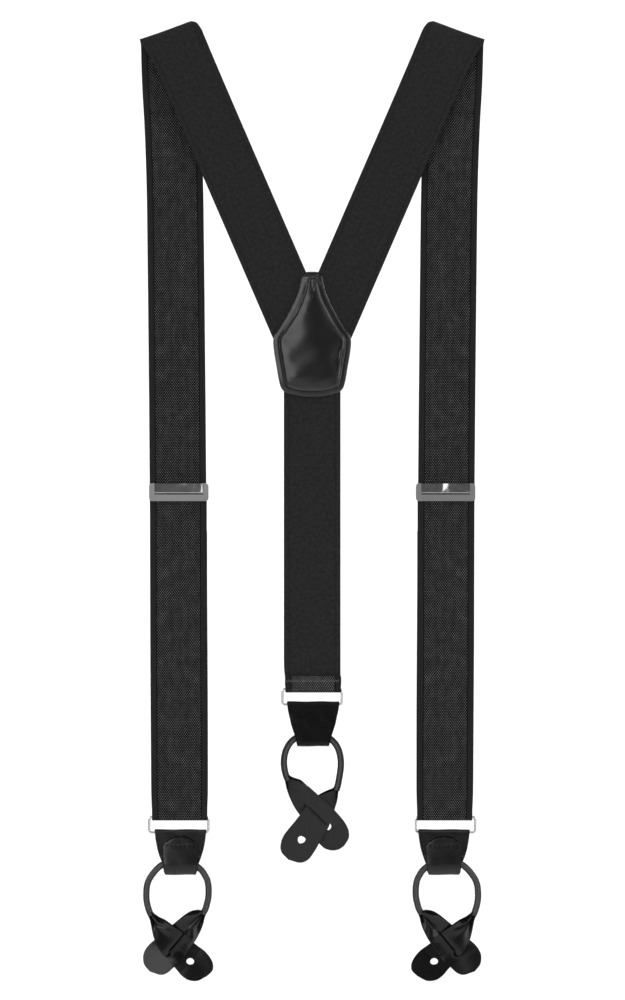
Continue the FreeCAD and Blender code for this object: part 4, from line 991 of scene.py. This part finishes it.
def ear_mesh(name, rows, hole, slit, y0, near, slit_line, mat, mirror, lean=(0, 0), ridge=0.0, rise=0.0, lumps=()):
    """Leather that unrolls from the cord into a flat ear, in mm in the XZ plane seen from -Y.
    rows is (edge, middle, edge, opening angle) from the cord to the tip; hole is (row number, radius);
    slit is the row number where the slit starts, or None. near: the side of the slit, +1 or -1, that comes towards
    the viewer, or for a threaded ear the way it goes through: +1 starts nearer the viewer. slit_line is (point, direction)."""
    sub = 9
    A = spline([r[0] for r in rows], sub)
    C = spline([r[1] for r in rows], sub)
    B = spline([r[2] for r in rows], sub)
    phi = np.interp(np.arange(len(A)) / sub, np.arange(len(rows)), [r[3] for r in rows])
    seg = np.concatenate([[0], np.cumsum(np.linalg.norm(np.diff(C, axis=0), axis=1))])
    at = lambda q: float(np.interp(q * sub, np.arange(len(C)), seg))
    hs, hr = at(hole[0]), hole[1]
    ss = at(slit) if slit is not None else None
    # extra rows round the hole, for a clean circle
    want = [hs + hr * math.cos(a) for a in np.linspace(math.pi, 0, 15)] + [hs + hr * 1.02 * q for q in (-1, 1)]
    if ss is not None:
        want += [ss, ss + 0.5, ss + 1.2]
    S = np.array(sorted(set(np.round(np.concatenate([seg, want]), 4))))
    keep = [0]
    for i in range(1, len(S)):
        if S[i] - S[keep[-1]] > 0.08:
            keep.append(i)
    S = S[keep]
    pick = lambda arr: np.stack([np.interp(S, seg, arr[:, 0]), np.interp(S, seg, arr[:, 1])], -1)
    A, B, C = pick(A), pick(B), pick(C)
    phi = np.radians(np.interp(S, seg, phi))
    steps = np.array([0.0, 0.05, 0.12, 0.22, 0.34, 0.48, 0.62, 0.75, 0.86, 0.94, 1.0])
    hidden = math.radians(90)
    o, dline = np.array(slit_line[0], float), np.array(slit_line[1], float)
    nline = np.array([-dline[1], dline[0]])
    verts, index, uvs = [], {}, []
    for i, s in enumerate(S):
        g = 0.0
        c2 = hr * hr - (s - hs) ** 2
        if c2 > 0:
            g = math.sqrt(c2)
        if ss is not None and ss < s <= hs:
            g = max(g, 0.16 * min(1.0, (s - ss) / 0.8))
        back = 1.15 * (1 - float(sstep(s, 0.5, 12.0)))
        for sd, E in ((1, A[i]), (-1, B[i])):
            vec = E - C[i]
            dist = np.linalg.norm(vec)
            dr = vec / dist if dist > 1e-6 else np.array([1.0, 0.0])
            f_ = phi[i]
            flat = min(1.0, f_ / hidden)
            reach = max(dist - 0.5 * EAR_T * flat * 0.9, 0.02) if dist > 0.1 else dist
            R = reach if f_ >= hidden else reach / max(math.sin(f_), 1e-3)
            for j, f in enumerate(steps):
                if f_ > 0.02:
                    a = f_ * f
                    x, lift = R * math.sin(a), R * (1 - math.cos(a))
                    if g > 0:
                        x = g + (x - g) * 1.0 if x > g else g
                else:
                    x, lift = g + (reach - g) * f, 0.0
                x = max(x, g) if g > 0 else x
                if g > 0 and f_ <= 0.02 and reach < g:
                    x = g
                p = C[i] + dr * x
                y = y0 + back - lift
                q = (p - o) @ nline
                along = (p - o) @ dline
                if slit is not None:
                    win = float(sstep(s, ss - 5.0, ss + 1.0)) * (1 - float(sstep(s, hs - 2.6, hs + 3.2)))
                    y += near * sd * win * (0.72 + 0.62 * math.exp(-((x / 2.4) ** 2)))
                    if ridge:
                        y -= ridge * math.exp(-((x / 1.0) ** 2)) * float(sstep(s, 1.0, 6.0)) * (1 - float(sstep(s, ss - 4.0, ss + 1.0)))
                else:
                    win = math.exp(-max(0.0, abs(q) - 14.0) / 10.0)
                    y += near * 0.95 * math.tanh(q / 1.7) * win
                far = float(sstep(s, hs - 6.0, hs + 5.0))
                y += (lean[0] * (p[0] - C[i][0]) + lean[1] * x * x + rise * (p[1] - C[i][1])) * far
                for bx, bz, amp, along_s, across_s, ang in lumps:
                    ca, sa = math.cos(ang), math.sin(ang)
                    da, dc = (p[0] - bx) * ca + (p[1] - bz) * sa, -(p[0] - bx) * sa + (p[1] - bz) * ca
                    y += amp * math.exp(-0.5 * ((da / along_s) ** 2 + (dc / across_s) ** 2))
                y += 0.10 * math.sin(x * 0.35 * sd + s * 0.16)
                key = (i, sd, j)
                if j == 0 and g == 0 and sd == -1:
                    index[key] = index[(i, 1, 0)]
                    continue
                index[key] = len(verts)
                verts.append((p[0], y, p[1]))
    faces = []
    for i in range(len(S) - 1):
        for sd in (1, -1):
            for j in range(len(steps) - 1):
                q = [index[(i, sd, j)], index[(i, sd, j + 1)], index[(i + 1, sd, j + 1)], index[(i + 1, sd, j)]]
                if sd == -1:
                    q.reverse()
                q = list(dict.fromkeys(q))
                if len(q) >= 3:
                    faces.append(tuple(q))
    V = np.array(verts)
    if mirror:
        V = V * np.array([-1, 1, 1])
    ob = make(name, V * MM, faces, [mat, M_EDGE])
    bm = bmesh.new()
    bm.from_mesh(ob.data)
    bmesh.ops.remove_doubles(bm, verts=bm.verts, dist=1.2e-5)
    bmesh.ops.dissolve_degenerate(bm, dist=1e-6, edges=bm.edges)
    bmesh.ops.recalc_face_normals(bm, faces=bm.faces)
    bm.to_mesh(ob.data)
    bm.free()
    bake(ob, ("SOLIDIFY", dict(thickness=EAR_T * MM, offset=0.0, material_offset_rim=1)), ("BEVEL", dict(width=0.00040, segments=2, limit_method="ANGLE", angle_limit=math.radians(55), material=1)))
    outward(ob)
    ob.data.polygons.foreach_set("use_smooth", [True] * len(ob.data.polygons))
    return ob


def button_end(side, cord, cy, outer, threaded, slit_line, near, mirror, mat_c, mat_e, seam):
    path2 = spline(cord, 8)
    path = np.stack([path2[:, 0], np.full(len(path2), cy), path2[:, 1]], -1)
    if mirror:
        path[:, 0] *= -1
        path = path[::-1]
    k = np.arange(len(path))
    grain = 1 + 0.010 * np.sin(k * 1.7) + 0.010 * np.sin(k * 0.73)
    c = tube(side + "_cord", path, 2.0 * grain, mat_c, sides=36, groove=(math.radians(seam), 0.16, 0.17))
    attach(c, side + "_loop")
    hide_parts(side + "_rolled_cord")
    c = tube(side + "_cord_filler", path[2:-2], 0.9, M_THREAD, sides=12)
    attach(c, side + "_loop")
    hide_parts(side + "_cord_core")
    ob = ear_mesh(side + "_ear_a", outer["rows"], outer["hole"], outer["slit"], cy, near[0], slit_line, mat_e, mirror, lean=outer["lean"], ridge=outer.get("ridge", 0), rise=outer.get("rise", 0), lumps=outer.get("lumps", ()))
    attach(ob, side + "_loop")
    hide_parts(side + "_ear_outer")
    ob = ear_mesh(side + "_ear_b", threaded["rows"], threaded["hole"], None, cy, near[1], slit_line, mat_e, mirror, lean=threaded["lean"], rise=threaded.get("rise", 0), lumps=threaded.get("lumps", ()))
    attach(ob, side + "_loop")
    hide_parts(side + "_ear_threaded")


# Control points in mm (x, z): the cords' centrelines from one end over the top to the other, and the ears' rows.
FRONT_CORD = [(-67.36, -543.02), (-66.13, -541.06), (-65.27, -539.09), (-64.65, -536.64), (-64.04, -534.18), (-63.73, -531.72), (-63.67, -529.27), (-63.73, -526.81), (-64.04, -524.36), (-64.65, -521.9), (-65.88, -519.44), (-67.42, -516.99), (-69.38, -515.02), (-72.33, -512.94), (-76.93, -511.22), (-82.34, -510.73), (-87.68, -511.22), (-92.28, -512.94), (-94.86, -514.9), (-96.83, -516.99), (-98.73, -519.44), (-100.27, -521.9), (-101.19, -524.36), (-101.74, -526.81), (-101.92, -529.27), (-101.99, -531.72), (-101.86, -534.18), (-101.49, -536.64), (-100.88, -539.09), (-100.08, -541.55), (-99.04, -544.0)]
FRONT_OUTER = [
    ((-68.34, -541.06), (-66.5, -541.79), (-64.72, -542.53), 165),
    ((-70.79, -540.57), (-67.23, -543.51), (-65.64, -544.25), 118),
    ((-74.17, -541.3), (-69.08, -545.6), (-66.37, -546.21), 78),
    ((-77.86, -543.39), (-71.65, -548.55), (-67.11, -549.16), 46),
    ((-81.85, -546.46), (-74.85, -551.74), (-68.58, -553.21), 25),
    ((-85.84, -549.78), (-78.22, -555.06), (-71.29, -558.62), 12),
    ((-90.75, -553.95), (-81.85, -559.29), (-74.85, -563.9), 5),
    ((-95.35, -558.0), (-85.65, -563.77), (-78.78, -569.18), 0),
    ((-99.77, -561.56), (-89.58, -568.07), (-82.34, -573.84), 0),
    ((-103.09, -566.23), (-92.65, -571.51), (-85.41, -576.05), 0),
    ((-103.95, -570.71), (-95.35, -574.21), (-88.91, -579.12), 0),
    ((-102.97, -574.83), (-97.56, -576.48), (-93.21, -580.48), 0),
    ((-99.9, -578.51), (-99.9, -578.51), (-99.9, -578.51), 0),
]
FRONT_THREAD = [
    ((-97.87, -541.92), (-99.65, -542.59), (-101.37, -543.27), 165),
    ((-96.21, -543.39), (-98.55, -544.74), (-100.51, -544.99), 125),
    ((-93.51, -545.23), (-97.2, -547.44), (-99.53, -547.2), 85),
    ((-90.14, -546.95), (-95.11, -550.64), (-98.85, -550.39), 52),
    ((-86.27, -549.65), (-92.41, -554.07), (-98.18, -554.2), 28),
    ((-82.34, -552.48), (-89.21, -557.63), (-96.83, -559.23), 12),
    ((-78.41, -555.67), (-85.65, -561.32), (-94.25, -564.63), 4),
    ((-74.72, -559.23), (-81.85, -565.25), (-90.44, -569.3), 0),
    ((-70.92, -562.42), (-78.16, -569.06), (-86.76, -573.6), 0),
    ((-66.25, -565.86), (-74.97, -572.37), (-83.32, -577.53), 0),
    ((-62.69, -570.04), (-71.53, -575.56), (-80.37, -580.97), 0),
    ((-60.97, -574.09), (-68.71, -578.02), (-76.2, -583.79), 0),
    ((-61.34, -578.02), (-66.25, -580.11), (-70.55, -584.28), 0),
    ((-64.72, -581.4), (-64.72, -581.4), (-64.72, -581.4), 0),
]
FRONT_LINE = ((-84.09, -561.63), (-0.65, -0.7599))
FRONT_HOLES = ((7.85, 2.1), (9.0, 2.15))
FRONT_SLIT = 5.0
REAR_CORD = [(14.8, -466.95), (15.72, -463.88), (16.39, -460.5), (17.13, -456.2), (17.56, -452.21), (17.56, -448.22), (16.95, -444.54), (15.9, -441.22), (14.06, -438.15), (11.48, -435.57), (8.17, -433.73), (4.36, -432.69), (0.12, -432.38), (-4.11, -432.69), (-7.92, -433.73), (-11.24, -435.57), (-13.81, -438.15), (-15.6, -441.22), (-16.76, -444.54), (-17.31, -448.22), (-17.25, -451.9), (-16.7, -455.28), (-15.9, -458.17), (-14.8, -460.75)]
REAR_OUTER = [
    ((-14.37, -457.06), (-16.03, -457.68), (-17.62, -458.41), 165),
    ((-12.71, -458.41), (-15.04, -460.13), (-16.82, -460.75), 125),
    ((-10.01, -459.52), (-13.81, -462.83), (-16.15, -463.57), 85),
    ((-6.82, -460.75), (-11.73, -465.9), (-15.17, -467.13), 50),
    ((-3.5, -463.57), (-8.9, -469.34), (-13.32, -472.17), 26),
    ((0.18, -466.52), (-5.71, -472.9), (-10.62, -477.69), 12),
    ((4.11, -470.08), (-2.27, -476.46), (-7.31, -482.48), 4),
    ((8.17, -473.76), (1.78, -480.52), (-3.62, -488.13), 0),
    ((12.1, -477.32), (5.83, -484.57), (0.06, -494.02), 0),
    ((16.52, -482.11), (9.52, -488.62), (4.36, -499.43), 0),
    ((20.2, -486.78), (12.96, -492.8), (7.67, -502.5), 0),
    ((22.41, -491.57), (15.66, -496.11), (11.85, -503.79), 0),
    ((22.41, -496.36), (17.87, -498.94), (16.15, -503.23), 0),
    ((19.65, -501.02), (19.65, -501.02), (19.65, -501.02), 0),
]
REAR_THREAD = [
    ((13.94, -463.08), (15.66, -463.57), (17.31, -464.06), 165),
    ((12.83, -465.53), (15.04, -466.03), (16.27, -466.27), 120),
    ((10.01, -466.76), (13.81, -468.73), (15.9, -468.6), 80),
    ((6.57, -468.36), (12.1, -471.8), (15.53, -471.55), 48),
    ((2.89, -470.57), (9.89, -475.24), (14.67, -475.48), 25),
    ((-0.68, -473.64), (7.31, -479.17), (13.32, -479.78), 10),
    ((-4.11, -477.45), (4.24, -483.46), (11.48, -484.69), 3),
    ((-7.31, -481.62), (0.8, -487.88), (9.89, -489.73), 0),
    ((-10.74, -486.04), (-2.76, -492.43), (6.57, -495.13), 0),
    ((-14.31, -490.34), (-6.69, -497.34), (3.75, -500.41), 0),
    ((-17.62, -494.76), (-9.15, -501.64), (1.04, -504.95), 0),
    ((-19.4, -500.04), (-11.11, -505.08), (-2.39, -509.37), 0),
    ((-18.85, -504.83), (-12.71, -507.9), (-7.31, -511.34), 0),
    ((-14.55, -509.56), (-14.55, -509.56), (-14.55, -509.56), 0),
]
REAR_LINE = ((3.96, -482.63), (-0.7, 0.7141))
REAR_HOLES = ((9.1, 2.0), (9.0, 2.35))
REAR_SLIT = 6.0
for side, mirror in (("left", False), ("right", True)):
    button_end(side, FRONT_CORD, 9.8, dict(rows=FRONT_OUTER, hole=FRONT_HOLES[0], slit=FRONT_SLIT, lean=(-0.16, 0.0), ridge=0.5, rise=0.13, lumps=[(-76.9, -556.6, -0.55, 2.2, 1.4, -0.8)]), dict(rows=FRONT_THREAD, hole=FRONT_HOLES[1], lean=(0.03, 0.0), lumps=[(-90.2, -552.6, -0.75, 3.2, 1.0, -0.45), (-92.6, -549.6, 0.7, 3.0, 0.9, -0.5)]), FRONT_LINE, (1, 1), mirror, M_CORD, M_EAR, 270)
button_end("rear", REAR_CORD, 0.7, dict(rows=REAR_OUTER, hole=REAR_HOLES[0], slit=REAR_SLIT, lean=(0.0, 0.0)), dict(rows=REAR_THREAD, hole=REAR_HOLES[1], lean=(0.0, 0.0)), REAR_LINE, (-1, -1), False, M_CORD_REAR, M_EAR_REAR, 250)

# ------------------------------------------------------------------ CAD pieces that stay
for n, ob in nodes.items():
    if n.endswith("_ring"):
        use(ob, M_RING)
    elif "lever" in n:
        use(ob, M_LEVER)
    elif "adjuster_frame" in n:
        use(ob, M_FRAME)
    elif "adjuster" in n:
        use(ob, M_STEEL)
    elif "core" in n or "stiffener" in n:
        use(ob, M_THREAD)

# ------------------------------------------------------------------ stage, light, camera
back_m = bpy.data.materials.new("backdrop")
back_m.use_nodes = True
back_m.node_tree.nodes["Principled BSDF"].inputs["Base Color"].default_value = (0.93, 0.93, 0.93, 1)
back_m.node_tree.nodes["Principled BSDF"].inputs["Roughness"].default_value = 0.9
prof = [(-2.4, -0.80), (0.55, -0.80)] + [(0.55 + 0.35 * math.sin(a), -0.45 - 0.35 * math.cos(a)) for a in np.linspace(0.1, math.pi / 2, 10)] + [(0.90, 2.2)]
V = [(sx * 3.2, y, z) for y, z in prof for sx in (-1, 1)]
F = [(2 * i, 2 * i + 1, 2 * i + 3, 2 * i + 2) for i in range(len(prof) - 1)]
# the sweep is seen only from its lit side, so that it does not hide the piece from behind
tree = back_m.node_tree
geo, clear, mixer = (tree.nodes.new(k) for k in ("ShaderNodeNewGeometry", "ShaderNodeBsdfTransparent", "ShaderNodeMixShader"))
tree.links.new(geo.outputs["Backfacing"], mixer.inputs[0])
tree.links.new(tree.nodes["Principled BSDF"].outputs[0], mixer.inputs[1])
tree.links.new(clear.outputs[0], mixer.inputs[2])
tree.links.new(mixer.outputs[0], tree.nodes["Material Output"].inputs[0])
drop = make("studio_floor", V, F, [back_m])
for p in drop.data.polygons:
    if p.normal.y > 0.1 or p.normal.z < -0.1:
        p.flip()


def area(name, loc, target, size, power, size_y=None, spread=None):
    d = bpy.data.lights.new(name, "AREA")
    d.energy = power
    d.shape = "RECTANGLE" if size_y else "SQUARE"
    d.size = size
    if size_y:
        d.size_y = size_y
    o = bpy.data.objects.new(name, d)
    scene.collection.objects.link(o)
    o.location = loc
    o.rotation_mode = "QUATERNION"
    o.rotation_quaternion = (Vector(target) - Vector(loc)).to_track_quat("-Z", "Y")
    return o


mid = (0, 0, -0.29)
WALL = 15
area("key", (-0.85, -1.9, 0.1), mid, 0.9, 9.5, 1.6)
area("fill", (0.98, -1.8, 0.0), mid, 0.35, 1.6, 1.4)
area("strip", (1.6, -1.0, 0.0), mid, 0.45, 6, 1.5)
area("top", (0.0, -0.9, 1.3), mid, 1.2, 4)
area("wall_l", (-1.3, 0.1, 0.2), (0.15, 0.9, -0.3), 0.7, WALL)
area("wall_r", (1.3, 0.1, 0.2), (-0.15, 0.9, -0.3), 0.7, WALL)
world = bpy.data.worlds.new("studio")
scene.world = world
world.use_nodes = True
world.node_tree.nodes["Background"].inputs[0].default_value = (1, 1, 1, 1)
world.node_tree.nodes["Background"].inputs[1].default_value = 0.14
scene.view_settings.view_transform = "Standard"
scene.view_settings.look = "None"

cam_d = bpy.data.cameras.new("camera")
cam_d.sensor_width = 36
cam_d.lens = 400
cam = bpy.data.objects.new("camera", cam_d)
scene.collection.objects.link(cam)
dist = 0.614 * 400 / 36
cam.location = (0.0002, -dist, -0.2886)
cam.rotation_euler = (math.pi / 2, 0, 0)
cam_d.clip_start, cam_d.clip_end = 0.05, 20
scene.camera = cam
